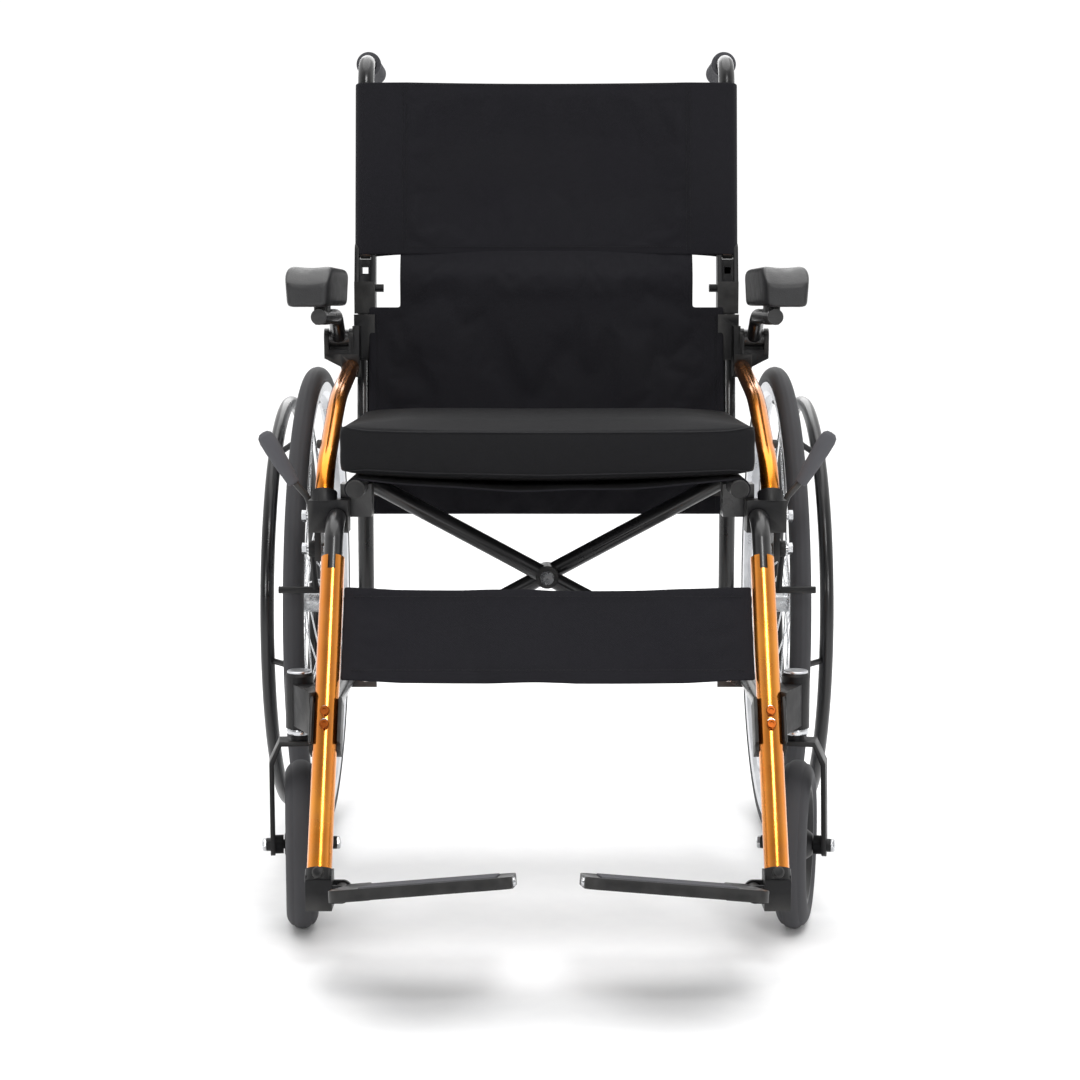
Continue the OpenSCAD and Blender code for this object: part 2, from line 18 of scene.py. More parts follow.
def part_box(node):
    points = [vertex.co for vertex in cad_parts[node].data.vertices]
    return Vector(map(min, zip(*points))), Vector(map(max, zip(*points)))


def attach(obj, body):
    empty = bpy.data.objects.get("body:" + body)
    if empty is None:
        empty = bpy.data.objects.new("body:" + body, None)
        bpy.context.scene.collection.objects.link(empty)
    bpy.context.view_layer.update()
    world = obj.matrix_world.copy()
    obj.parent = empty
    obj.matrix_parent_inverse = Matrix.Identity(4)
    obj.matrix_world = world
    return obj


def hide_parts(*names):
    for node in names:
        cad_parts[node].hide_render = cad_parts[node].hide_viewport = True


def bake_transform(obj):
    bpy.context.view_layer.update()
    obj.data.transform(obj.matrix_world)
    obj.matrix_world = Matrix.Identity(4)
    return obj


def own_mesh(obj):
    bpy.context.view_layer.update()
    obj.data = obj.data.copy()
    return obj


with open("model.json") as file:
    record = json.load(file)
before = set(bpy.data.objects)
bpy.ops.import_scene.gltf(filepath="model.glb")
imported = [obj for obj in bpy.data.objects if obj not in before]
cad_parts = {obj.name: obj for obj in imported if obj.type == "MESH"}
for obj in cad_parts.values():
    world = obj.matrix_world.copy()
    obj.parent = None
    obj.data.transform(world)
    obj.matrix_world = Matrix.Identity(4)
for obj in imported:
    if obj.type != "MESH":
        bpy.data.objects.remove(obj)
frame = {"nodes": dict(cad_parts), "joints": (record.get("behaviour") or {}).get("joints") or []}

LOG = logging.getLogger("wheelchair")
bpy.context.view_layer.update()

Point = tuple[float, float, float]
Colour = tuple[float, float, float]

AXLE_Y = 0.222
STEM_X = 0.261
STEM_Y = -0.450 + AXLE_Y
FRAME_X = 0.228
BACK_LEAN = math.radians(8)
BACK_BEND_Z = 0.480
BACK_PIN_Z = 0.733
LEG_SLOPE = math.radians(30)
LEG_TOP = Vector((0.227, -0.424 + AXLE_Y, 0.400))
SEAT_RAIL_X = 0.206
SEAT_RAIL_Z = 0.470


class Side(Enum):
    """A side of the chair, as the sitter names it."""

    LEFT = 1
    RIGHT = -1

    @property
    def label(self) -> str:
        """The side's name as the CAD nodes spell it."""
        return self.name.lower()


class Shading(Enum):
    """How sharp an edge has to be before it stays crisp, in degrees."""

    SOFT = 80
    CRISP = 32


# ------------------------------------------------------------------ modelling tools


def deselect_all() -> None:
    """Leave edit mode and select nothing."""
    if bpy.context.mode != "OBJECT":
        bpy.ops.object.mode_set(mode="OBJECT")
    for obj in bpy.context.selected_objects:
        obj.select_set(False)


def take_up(obj: bpy.types.Object) -> None:
    """Make obj the one selected and active object.

    Args:
        obj: the object to take up.
    """
    deselect_all()
    obj.select_set(True)
    bpy.context.view_layer.objects.active = obj


@contextmanager
def edit_mode(obj: bpy.types.Object, kind: str = "FACE") -> Iterator[None]:
    """Hold obj in edit mode.

    Args:
        obj: the mesh object to edit.
        kind: VERT, EDGE or FACE, what selection works on.

    Returns:
        A context, out of edit mode at its end.
    """
    take_up(obj)
    bpy.context.tool_settings.mesh_select_mode = tuple(kind == k for k in ("VERT", "EDGE", "FACE"))
    bpy.ops.object.mode_set(mode="EDIT")
    yield
    bpy.ops.object.mode_set(mode="OBJECT")


def pick_faces(obj: bpy.types.Object, test: Callable[[bpy.types.MeshPolygon], bool]) -> None:
    """Select only the faces that pass a test.

    Args:
        obj: the mesh object, in object mode.
        test: says whether a face is wanted.
    """
    mesh = obj.data
    for item in (*mesh.vertices, *mesh.edges):
        item.select = False
    for face in mesh.polygons:
        face.select = test(face)


def pick_edges(obj: bpy.types.Object, test: Callable[[Vector, Vector], bool]) -> None:
    """Select only the edges whose ends pass a test.

    Args:
        obj: the mesh object, in object mode.
        test: takes the two ends of an edge and says whether it is wanted.
    """
    mesh = obj.data
    for item in (*mesh.vertices, *mesh.polygons):
        item.select = False
    for edge in mesh.edges:
        a, b = (mesh.vertices[i] for i in edge.vertices)
        edge.select = test(a.co, b.co)
        if edge.select:
            a.select = b.select = True


def settle(obj: bpy.types.Object) -> None:
    """Move the object's place into its mesh."""
    take_up(obj)
    bpy.ops.object.transform_apply(location=True, rotation=True, scale=True)


def modify(obj: bpy.types.Object, kind: str, **settings: object) -> None:
    """Add a modifier with these settings and apply it.

    Args:
        obj: the object to change.
        kind: the modifier's type, such as BEVEL.
        settings: values for the modifier's properties.
    """
    take_up(obj)
    modifier = obj.modifiers.new(kind.title(), kind)
    for key, value in settings.items():
        setattr(modifier, key, value)
    bpy.ops.object.modifier_apply(modifier=modifier.name)


def bevel(obj: bpy.types.Object, width: float, segments: int = 3, angle: float = 40) -> None:
    """Round every edge sharper than angle degrees."""
    modify(obj, "BEVEL", width=width, segments=segments, limit_method="ANGLE",
           angle_limit=math.radians(angle), use_clamp_overlap=True, miter_outer="MITER_ARC")


def smooth(obj: bpy.types.Object, shading: Shading = Shading.CRISP) -> None:
    """Shade the object smooth, with crisp edges only where they are sharper than the shading's angle."""
    take_up(obj)
    bpy.ops.object.shade_smooth_by_angle(angle=math.radians(shading.value))


def tidy_mesh(obj: bpy.types.Object, distance: float = 1e-5) -> None:
    """Merge doubled points and turn all faces outward.

    Args:
        obj: the mesh object to clean.
        distance: how close two points are merged.
    """
    with edit_mode(obj, "VERT"):
        bpy.ops.mesh.select_all(action="SELECT")
        bpy.ops.mesh.remove_doubles(threshold=distance)
        bpy.ops.mesh.normals_make_consistent(inside=False)


def add_box(name: str, low: Sequence[float], high: Sequence[float]) -> bpy.types.Object:
    """Add a box between two corners.

    Args:
        name: the new object's name.
        low: the lowest corner.
        high: the highest corner.

    Returns:
        The box, with its place in its mesh.
    """
    deselect_all()
    low, high = Vector(low), Vector(high)
    bpy.ops.mesh.primitive_cube_add(size=1, location=(low + high) / 2, scale=high - low)
    obj = bpy.context.object
    obj.name = obj.data.name = name
    settle(obj)
    return obj


def lathe(name: str, profile: Sequence[tuple[float, float]], place: Matrix,
          steps: int = 48) -> bpy.types.Object:
    """Turn a profile about an axis.

    Args:
        name: the new object's name.
        profile: (radius, distance along the axis) of each point of the section.
        place: takes the local Z axis, the axis turned about, to where the piece stands.
        steps: how many faces go round.

    Returns:
        The turned piece, closed where the profile is closed or meets the axis.
    """
    deselect_all()
    bpy.ops.mesh.primitive_plane_add(size=0.01, location=(0, 0, 0))
    obj = bpy.context.object
    obj.name = obj.data.name = name
    points = [Vector((radius, 0, along)) for radius, along in profile]
    with edit_mode(obj, "VERT"):
        bpy.ops.mesh.select_all(action="SELECT")
        bpy.ops.mesh.merge(type="CENTER")
        bpy.ops.transform.translate(value=points[0])
        for before, after in zip(points, points[1:]):
            bpy.ops.mesh.extrude_region_move(TRANSFORM_OT_translate={"value": after - before})
        bpy.ops.mesh.select_all(action="SELECT")
        bpy.ops.mesh.spin(steps=steps, angle=2 * math.pi, center=(0, 0, 0), axis=(0, 0, 1))
    obj.data.transform(place)
    tidy_mesh(obj, 2e-6)
    return obj


def along_axis(origin: Sequence[float], direction: Sequence[float]) -> Matrix:
    """A placement whose local Z runs along direction from origin."""
    return Matrix.Translation(origin) @ Vector(direction).to_track_quat("Z", "Y").to_matrix().to_4x4()


def join(name: str, parts: Sequence[bpy.types.Object]) -> bpy.types.Object:
    """Join several objects into one.

    Args:
        name: the joined object's name.
        parts: the objects, which stop being objects of their own.

    Returns:
        The joined object.
    """
    take_up(parts[0])
    for part in parts[1:]:
        part.select_set(True)
    bpy.ops.object.join()
    parts[0].name = parts[0].data.name = name
    return parts[0]


def copied(obj: bpy.types.Object, name: str, place: Matrix) -> bpy.types.Object:
    """Copy an object with its own mesh.

    Args:
        obj: the object to copy.
        name: the copy's name.
        place: applied to the copy's mesh; a mirroring one also turns its faces back outward.

    Returns:
        The copy.
    """
    twin = obj.copy()
    twin.data = obj.data.copy()
    twin.name = twin.data.name = name
    bpy.context.scene.collection.objects.link(twin)
    twin.data.transform(place)
    if place.determinant() < 0:
        twin.data.flip_normals()
    return twin


def other_side(obj: bpy.types.Object) -> bpy.types.Object:
    """The mirror image of a left_ piece, for the right."""
    return copied(obj, obj.name.replace("left_", "right_"), Matrix.Scale(-1, 4, (1, 0, 0)))


def from_node(node: str, name: str, width: float) -> bpy.types.Object:
    """Copy a CAD node and round its edges as a casting or moulding has them.

    Args:
        node: the CAD node's name.
        name: the new object's name.
        width: how far each sharp edge is rounded.

    Returns:
        The rounded copy.
    """
    obj = copied(frame["nodes"][node], name, Matrix.Identity(4))
    obj.parent = None
    for key in list(obj.keys()):
        del obj[key]
    take_up(obj)
    if obj.data.has_custom_normals:
        bpy.ops.mesh.customdata_custom_splitnormals_clear()
    obj.data.materials.clear()
    tidy_mesh(obj, 4e-5)
    with edit_mode(obj, "FACE"):
        bpy.ops.mesh.select_all(action="SELECT")
        bpy.ops.mesh.dissolve_limited(angle_limit=math.radians(1.5))
    bevel(obj, width, 2, 42)
    smooth(obj)
    return obj


def curve_tube(name: str, points: Sequence[Vector], radius: float, closed: bool = False) -> bpy.types.Object:
    """Run a thin round cord through points.

    Args:
        name: the new object's name.
        points: the cord's centre line.
        radius: the cord's radius.
        closed: whether the last point joins the first.

    Returns:
        The cord as a mesh.
    """
    curve = bpy.data.curves.new(name, "CURVE")
    curve.dimensions = "3D"
    curve.bevel_depth = radius
    curve.bevel_resolution = 2
    curve.use_fill_caps = True
    line = curve.splines.new("POLY")
    line.points.add(len(points) - 1)
    for spot, point in zip(line.points, points):
        spot.co = (*point, 1)
    line.use_cyclic_u = closed
    obj = bpy.data.objects.new(name, curve)
    bpy.context.scene.collection.objects.link(obj)
    take_up(obj)
    bpy.ops.object.convert(target="MESH")
    smooth(obj, Shading.SOFT)
    return obj


def stitches(name: str, path: Callable[[float], Vector], length: float, away: Vector) -> bpy.types.Object:
    """A row of sewn stitches.

    Args:
        name: the new object's name.
        path: the point on the cloth at each share of the way, from 0 to 1.
        length: the row's length.
        away: the direction out of the cloth.

    Returns:
        All the stitches as one mesh.
    """
    pitch, stitch_length, thickness = 0.0042, 0.0030, 0.00042
    count = max(2, round(length / pitch))
    stitch = add_box(name, (-stitch_length / 2, -thickness, -thickness),
                     (stitch_length / 2, thickness, thickness))
    bevel(stitch, thickness * 0.8, 1)
    parts = []
    for index in range(count):
        share = (index + 0.5) / count
        spot = path(share)
        ahead = (path(min(1.0, share + 0.01)) - path(max(0.0, share - 0.01))).normalized()
        across = away.cross(ahead).normalized()
        turn = Matrix((ahead, across, ahead.cross(across))).transposed().to_4x4()
        parts.append(copied(stitch, f"{name}_{index}", Matrix.Translation(spot) @ turn))
    bpy.data.objects.remove(stitch)
    return join(name, parts)


# ------------------------------------------------------------------ cloth


@dataclass(frozen=True)
class Cloth:
    """How a sheet or a cushion cover behaves while it is draped.

    Attributes:
        slack: how much larger the cloth is cut than the space it is sewn into.
        pressure: what pushes it out along its normals.
        cap: the farthest any point may move.
        bending: how stiff the cloth is against folding.
        frames: how many steps it is given.
    """

    slack: float
    pressure: float
    cap: float
    bending: float = 0.4
    frames: int = 20

    def drape(self, obj: bpy.types.Object, pin: Callable[[Vector], float]) -> None:
        """Simulate the cloth and keep the result in the mesh.

        Args:
            obj: the mesh to drape.
            pin: how firmly each point is held, from 0 to 1.
        """
        rest = [v.co.copy() for v in obj.data.vertices]
        held = obj.vertex_groups.new(name="held")
        for vertex in obj.data.vertices:
            held.add([vertex.index], pin(vertex.co), "REPLACE")
        take_up(obj)
        modifier = obj.modifiers.new("Cloth", "CLOTH")
        settings = modifier.settings
        settings.quality = 5
        settings.mass = 0.25
        settings.tension_stiffness = settings.compression_stiffness = 18
        settings.shear_stiffness = 6
        settings.bending_stiffness = self.bending
        settings.vertex_group_mass = held.name
        settings.shrink_min = -self.slack
        settings.use_pressure = True
        settings.uniform_pressure_force = self.pressure
        settings.effector_weights.gravity = 0
        modifier.collision_settings.use_collision = False
        modifier.point_cache.frame_start = 1
        modifier.point_cache.frame_end = self.frames
        for step in range(1, self.frames + 1):
            bpy.context.scene.frame_set(step)
        bpy.ops.object.modifier_apply(modifier=modifier.name)
        for vertex, start in zip(obj.data.vertices, rest):
            move = vertex.co - start
            if move.length > self.cap:
                vertex.co = start + move * (self.cap / move.length)
        obj.vertex_groups.clear()
        bpy.context.scene.frame_set(1)


def sheet_grid(name: str, across: int, along: int,
               place: Callable[[float, float], Vector]) -> bpy.types.Object:
    """Make a sheet from a grid.

    Args:
        name: the new object's name.
        across: how many faces the sheet has across.
        along: how many faces it has along.
        place: the point for each share across and share along, both from 0 to 1.

    Returns:
        The sheet.
    """
    deselect_all()
    bpy.ops.mesh.primitive_grid_add(x_subdivisions=across, y_subdivisions=along, size=1, location=(0, 0, 0))
    obj = bpy.context.object
    obj.name = obj.data.name = name
    for vertex in obj.data.vertices:
        vertex.co = place(min(1, max(0, vertex.co.x + 0.5)), min(1, max(0, vertex.co.y + 0.5)))
    return obj


# ------------------------------------------------------------------ shader tools


class Graph:
    """A node tree that is filled in by short calls."""

    def __init__(self, tree: bpy.types.NodeTree) -> None:
        """Start on an empty tree."""
        self.tree = tree
        tree.nodes.clear()

    def node(self, kind: str, inputs: dict | None = None, **settings: object) -> bpy.types.Node:
        """Add a node.

        Args:
            kind: the node's type, without its leading ShaderNode.
            inputs: a constant or an output socket for each input, by name or index.
            settings: values for the node's own properties.

        Returns:
            The node.
        """
        made = self.tree.nodes.new(kind if kind.startswith("Node") else f"ShaderNode{kind}")
        for key, value in settings.items():
            setattr(made, key, value)
        for key, value in (inputs or {}).items():
            if isinstance(value, bpy.types.NodeSocket):
                self.tree.links.new(value, made.inputs[key])
            else:
                made.inputs[key].default_value = value
        return made

    def math(self, operation: str, a: object, b: object = 0.0, clamp: bool = False) -> bpy.types.NodeSocket:
        """The result of a sum on two values or sockets."""
        return self.node("Math", {0: a, 1: b}, operation=operation, use_clamp=clamp).outputs[0]

    def group(self, tree: bpy.types.NodeTree, inputs: dict) -> bpy.types.Node:
        """Add a node group with these inputs."""
        return self.node("Group", inputs, node_tree=tree)


class Effect:
    """Surface effects that several finishes share, each built once as a node group."""

    _made: dict[str, bpy.types.NodeTree] = {}

    @classmethod
    def _tree(cls, name: str, ins: dict[str, str],
              outs: dict[str, str]) -> tuple[Graph, bpy.types.Node, bpy.types.Node]:
        """Start a group with these named inputs and outputs, given by socket type.

        Args:
            name: the group's name.
            ins: its inputs' socket types, by name.
            outs: its outputs' socket types, by name.

        Returns:
            The graph with its input and output nodes.
        """
        tree = bpy.data.node_groups.new(name, "ShaderNodeTree")
        for label, kind in ins.items():
            tree.interface.new_socket(name=label, in_out="INPUT", socket_type=f"NodeSocket{kind}")
        for label, kind in outs.items():
            tree.interface.new_socket(name=label, in_out="OUTPUT", socket_type=f"NodeSocket{kind}")
        cls._made[name] = tree
        graph = Graph(tree)
        return graph, graph.node("NodeGroupInput"), graph.node("NodeGroupOutput")

    @classmethod
    def grain(cls) -> bpy.types.NodeTree:
        """Cloudy variation between two values, with a fine relief.

        Returns:
            The node group.
        """
        if "grain" in cls._made:
            return cls._made["grain"]
        graph, start, end = cls._tree(
            "grain", {"Coordinates": "Vector", "Scale": "Float", "Low": "Float", "High": "Float"},
            {"Value": "Float", "Height": "Float"})
        place, scale = start.outputs["Coordinates"], start.outputs["Scale"]
        cloud = graph.node("TexNoise", {"Vector": place, "Scale": scale, "Detail": 4.0, "Roughness": 0.55})
        ranged = graph.node("MapRange", {"Value": cloud.outputs[0], "From Min": 0.3, "From Max": 0.7,
                                         "To Min": start.outputs["Low"], "To Max": start.outputs["High"]})
        finer = graph.math("MULTIPLY", scale, 9.0)
        fine = graph.node("TexNoise", {"Vector": place, "Scale": finer, "Detail": 2.0})
        graph.tree.links.new(ranged.outputs[0], end.inputs["Value"])
        graph.tree.links.new(fine.outputs[0], end.inputs["Height"])
        return graph.tree

    @classmethod
    def weave(cls) -> bpy.types.NodeTree:
        """Plain woven threads on both the faces that look forward and those that look up.

        Returns:
            The node group.
        """
        if "weave" in cls._made:
            return cls._made["weave"]
        graph, start, end = cls._tree(
            "weave", {"Coordinates": "Vector", "Pitch": "Float", "Dark": "Color", "Light": "Color"},
            {"Color": "Color", "Height": "Float", "Roughness": "Float"})
        split = graph.node("SeparateXYZ", {0: start.outputs["Coordinates"]})
        turns = graph.math("DIVIDE", math.pi, start.outputs["Pitch"])
        up = graph.math("ADD", split.outputs["Y"], split.outputs["Z"])
        warp = graph.math("SINE", graph.math("MULTIPLY", split.outputs["X"], turns))
        weft = graph.math("SINE", graph.math("MULTIPLY", up, turns))
        cross = graph.math("MULTIPLY", warp, weft)
        height = graph.math("MULTIPLY_ADD", cross, 0.5)
        height.node.inputs[2].default_value = 0.5
        streak = graph.node("Mapping", {"Vector": start.outputs["Coordinates"], "Scale": (900.0, 12.0, 12.0)})
        slub = graph.node("TexNoise", {"Vector": streak.outputs[0], "Scale": 1.0, "Detail": 2.0})
        cloud = graph.node("TexNoise", {"Vector": start.outputs["Coordinates"], "Scale": 9.0, "Detail": 5.0})
        tone = graph.math("ADD", graph.math("MULTIPLY", height, 0.35),
                          graph.math("ADD", graph.math("MULTIPLY", slub.outputs[0], 0.3),
                                     graph.math("MULTIPLY", cloud.outputs[0], 0.45)), True)
        mixed = graph.node("Mix", {"Factor": tone, "A": start.outputs["Dark"], "B": start.outputs["Light"]},
                           data_type="RGBA")
        graph.tree.links.new(mixed.outputs["Result"], end.inputs["Color"])
        graph.tree.links.new(height, end.inputs["Height"])
        rough = graph.node("MapRange", {"Value": cloud.outputs[0], "To Min": 0.62, "To Max": 0.85})
        graph.tree.links.new(rough.outputs[0], end.inputs["Roughness"])
        return graph.tree

    @classmethod
    def wear(cls) -> bpy.types.NodeTree:
        """A mask of the rubbed edges.

        Returns:
            The node group.
        """
        if "wear" in cls._made:
            return cls._made["wear"]
        graph, start, end = cls._tree("wear", {"Coordinates": "Vector", "Amount": "Float"}, {"Mask": "Float"})
        edge = graph.node("NewGeometry").outputs["Pointiness"]
        sharp = graph.node("MapRange", {"Value": edge, "From Min": 0.53, "From Max": 0.60})
        patch = graph.node("TexNoise", {"Vector": start.outputs["Coordinates"], "Scale": 60.0, "Detail": 5.0})
        broken = graph.math("MULTIPLY", sharp.outputs[0], patch.outputs[0])
        mask = graph.math("MULTIPLY", broken, start.outputs["Amount"], True)
        graph.tree.links.new(mask, end.inputs["Mask"])
        return graph.tree

    @classmethod
    def dust(cls) -> bpy.types.NodeTree:
        """A mask of the dust that settles on what faces up.

        Returns:
            The node group.
        """
        if "dust" in cls._made:
            return cls._made["dust"]
        graph, start, end = cls._tree("dust", {"Coordinates": "Vector", "Amount": "Float"}, {"Mask": "Float"})
        facing = graph.node("SeparateXYZ", {0: graph.node("NewGeometry").outputs["Normal"]}).outputs["Z"]
        upward = graph.node("MapRange", {"Value": facing, "From Min": 0.1, "From Max": 1.0})
        patch = graph.node("TexNoise", {"Vector": start.outputs["Coordinates"], "Scale": 25.0, "Detail": 6.0})
        settled = graph.math("MULTIPLY", upward.outputs[0], patch.outputs[0])
        mask = graph.math("MULTIPLY", settled, start.outputs["Amount"], True)
        graph.tree.links.new(mask, end.inputs["Mask"])
        return graph.tree


# ------------------------------------------------------------------ finishes


@dataclass(frozen=True)
class Finish:
    """A surface finish.

    Attributes:
        name: the material's name.
        slot: the record's material slot that it belongs to; not used.
        colour: the base colour, linear.
        light: the colour that it varies towards.
        roughness: the smoothest and the roughest it gets.
        metallic: how metallic it is.
        coat: how much clear coat lies over it.
        scale: how many clouds of variation there are in a metre.
        relief: how deep the fine relief is.
        wear: how rubbed its edges are.
        dust: how dusty its upper sides are.
        specular: how strongly its uncoated surface reflects.
        sheen: how much light its fibres catch at a glancing angle.
        pitch: the spacing of its threads, or 0 where it isn't woven.
    """

    name: str
    slot: str
    colour: Colour
    light: Colour
    roughness: tuple[float, float] = (0.3, 0.45)
    metallic: float = 0.0
    coat: float = 0.0
    scale: float = 30.0
    relief: float = 0.05
    wear: float = 0.0
    dust: float = 0.0
    specular: float = 0.5
    sheen: float = 0.0
    pitch: float = 0.0

    def material(self) -> bpy.types.Material:
        """The finish as a material, made the first time that it is asked for.

        Returns:
            The material.
        """
        found = bpy.data.materials.get(self.name)
        if found:
            return found
        material = bpy.data.materials.new(self.name)
        material.use_nodes = True
        graph = Graph(material.node_tree)
        place = graph.node("TexCoord").outputs["Object"]
        if self.pitch:
            body = graph.group(Effect.weave(), {"Coordinates": place, "Pitch": self.pitch,
                                                "Dark": (*self.colour, 1), "Light": (*self.light, 1)})
            colour, rough = body.outputs["Color"], body.outputs["Roughness"]
        else:
            body = graph.group(Effect.grain(), {"Coordinates": place, "Scale": self.scale,
                                                "Low": 0.0, "High": 1.0})
            blend = graph.node("Mix", {"Factor": body.outputs["Value"]}, data_type="RGBA")
            blend.inputs[6].default_value = (*self.colour, 1)
            blend.inputs[7].default_value = (*self.light, 1)
            colour = blend.outputs[2]
            low, high = self.roughness
            spread = graph.node("MapRange", {"Value": body.outputs["Value"], "To Min": low, "To Max": high})
            rough = spread.outputs[0]
        if self.wear:
            mask = graph.group(Effect.wear(), {"Coordinates": place, "Amount": self.wear}).outputs["Mask"]
            colour = self._towards(graph, colour, (0.45, 0.44, 0.42), mask)
        if self.dust:
            mask = graph.group(Effect.dust(), {"Coordinates": place, "Amount": self.dust}).outputs["Mask"]
            colour = self._towards(graph, colour, (0.32, 0.31, 0.29), mask)
            rough = graph.math("ADD", rough, graph.math("MULTIPLY", mask, 0.4), True)
        relief = graph.node("Bump", {"Height": body.outputs["Height"], "Strength": self.relief,
                                     "Distance": 0.001})
        shader = graph.node("BsdfPrincipled", {
            "Base Color": colour, "Roughness": rough, "Metallic": self.metallic, "Coat Weight": self.coat,
            "Coat Roughness": 0.12, "Specular IOR Level": self.specular, "Sheen Weight": self.sheen,
            "Sheen Roughness": 0.45, "Normal": relief.outputs[0]})
        out = graph.node("OutputMaterial")
        graph.tree.links.new(shader.outputs[0], out.inputs["Surface"])
        return material

    @staticmethod
    def _towards(graph: Graph, colour: bpy.types.NodeSocket, target: Colour,
                 mask: bpy.types.NodeSocket) -> bpy.types.NodeSocket:
        """Mix a colour towards a target by a mask.

        Args:
            graph: the graph to add to.
            colour: the colour so far.
            target: the colour to mix towards.
            mask: how far to mix, from 0 to 1.

        Returns:
            The mixed colour.
        """
        blend = graph.node("Mix", {"Factor": mask}, data_type="RGBA")
        graph.tree.links.new(colour, blend.inputs[6])
        blend.inputs[7].default_value = (*target, 1)
        return blend.outputs[2]

    def dress(self, *objects: bpy.types.Object) -> None:
        """Give objects this finish."""
        for obj in objects:
            if not obj.data.materials:
                obj.data.materials.append(None)
            for index in range(len(obj.material_slots)):
                obj.material_slots[index].link = "OBJECT"
                obj.material_slots[index].material = self.material()


GLOSS_BLACK = Finish("gloss_black_paint", "black_tube", (0.0030, 0.0030, 0.0036), (0.0075, 0.0075, 0.0085),
                     (0.24, 0.38), coat=0.35, scale=18, relief=0.03, wear=0.12, dust=0.05)
AMBER = Finish("amber_anodising", "orange_tube", (0.80, 0.235, 0.008), (0.92, 0.330, 0.018),
               (0.20, 0.30), metallic=1.0, coat=0.6, scale=14, relief=0.03, wear=0.10)
CASTING = Finish("satin_black_casting", "black_bracket", (0.0028, 0.0028, 0.0032), (0.0075, 0.0075, 0.0085),
                 (0.34, 0.52), scale=45, relief=0.16, wear=0.18, dust=0.03, specular=0.24)
STEEL = Finish("brushed_steel", "steel", (0.46, 0.47, 0.49), (0.66, 0.67, 0.68),
               (0.18, 0.34), metallic=1.0, scale=80, relief=0.04, dust=0.05)
RIM_METAL = Finish("rim_aluminium", "rim_metal", (0.46, 0.47, 0.49), (0.64, 0.65, 0.67),
                   (0.25, 0.38), metallic=1.0, scale=40, relief=0.04, dust=0.08)
TYRE = Finish("tyre_rubber", "tyre_rubber", (0.0050, 0.0050, 0.0058), (0.0120, 0.0120, 0.0135),
              (0.42, 0.58), scale=35, relief=0.20, dust=0.06, specular=0.36)
GRIP_RUBBER = Finish("grip_rubber", "grip_rubber", (0.0040, 0.0040, 0.0046), (0.0110, 0.0110, 0.0125),
                     (0.50, 0.68), scale=60, relief=0.20, dust=0.04, specular=0.26)
PAD_SKIN = Finish("moulded_pad_skin", "pad_foam", (0.0060, 0.0060, 0.0068), (0.0120, 0.0120, 0.0135),
                  (0.40, 0.54), scale=70, relief=0.30, dust=0.08, specular=0.50)
WHEEL_PLASTIC = Finish("moulded_wheel_plastic", "caster_plastic", (0.0050, 0.0050, 0.0058),
                       (0.0130, 0.0130, 0.0145), (0.38, 0.52), scale=50, relief=0.12, dust=0.10,
                       specular=0.40)
RIM_COAT = Finish("hand_rim_coating", "hand_rim_coat", (0.0030, 0.0030, 0.0036), (0.0070, 0.0070, 0.0080),
                  (0.26, 0.38), coat=0.20, scale=16, relief=0.02, dust=0.04, specular=0.40)
NYLON = Finish("black_nylon", "nylon", (0.0030, 0.0029, 0.0042), (0.0115, 0.0110, 0.0150),
               specular=0.16, sheen=0.025, relief=0.30, pitch=0.0013)
CUSHION_CLOTH = Finish("cushion_cloth", "nylon", (0.0028, 0.0028, 0.0033), (0.0100, 0.0100, 0.0115),
                       specular=0.15, sheen=0.025, relief=0.26, pitch=0.0010)
SCREW = Finish("bronzed_screw", "steel", (0.20, 0.045, 0.008), (0.28, 0.070, 0.012),
               (0.30, 0.42), metallic=1.0, scale=60, relief=0.04)
THREAD = Finish("sewing_thread", "nylon", (0.0060, 0.0060, 0.0070), (0.0120, 0.0120, 0.0140),
                (0.60, 0.75), relief=0.1, specular=0.25)
FLOOR = Finish("pale_floor", "nylon", (0.90, 0.90, 0.905), (0.93, 0.93, 0.93), (0.60, 0.70), relief=0.0)


# ------------------------------------------------------------------ sub-assemblies


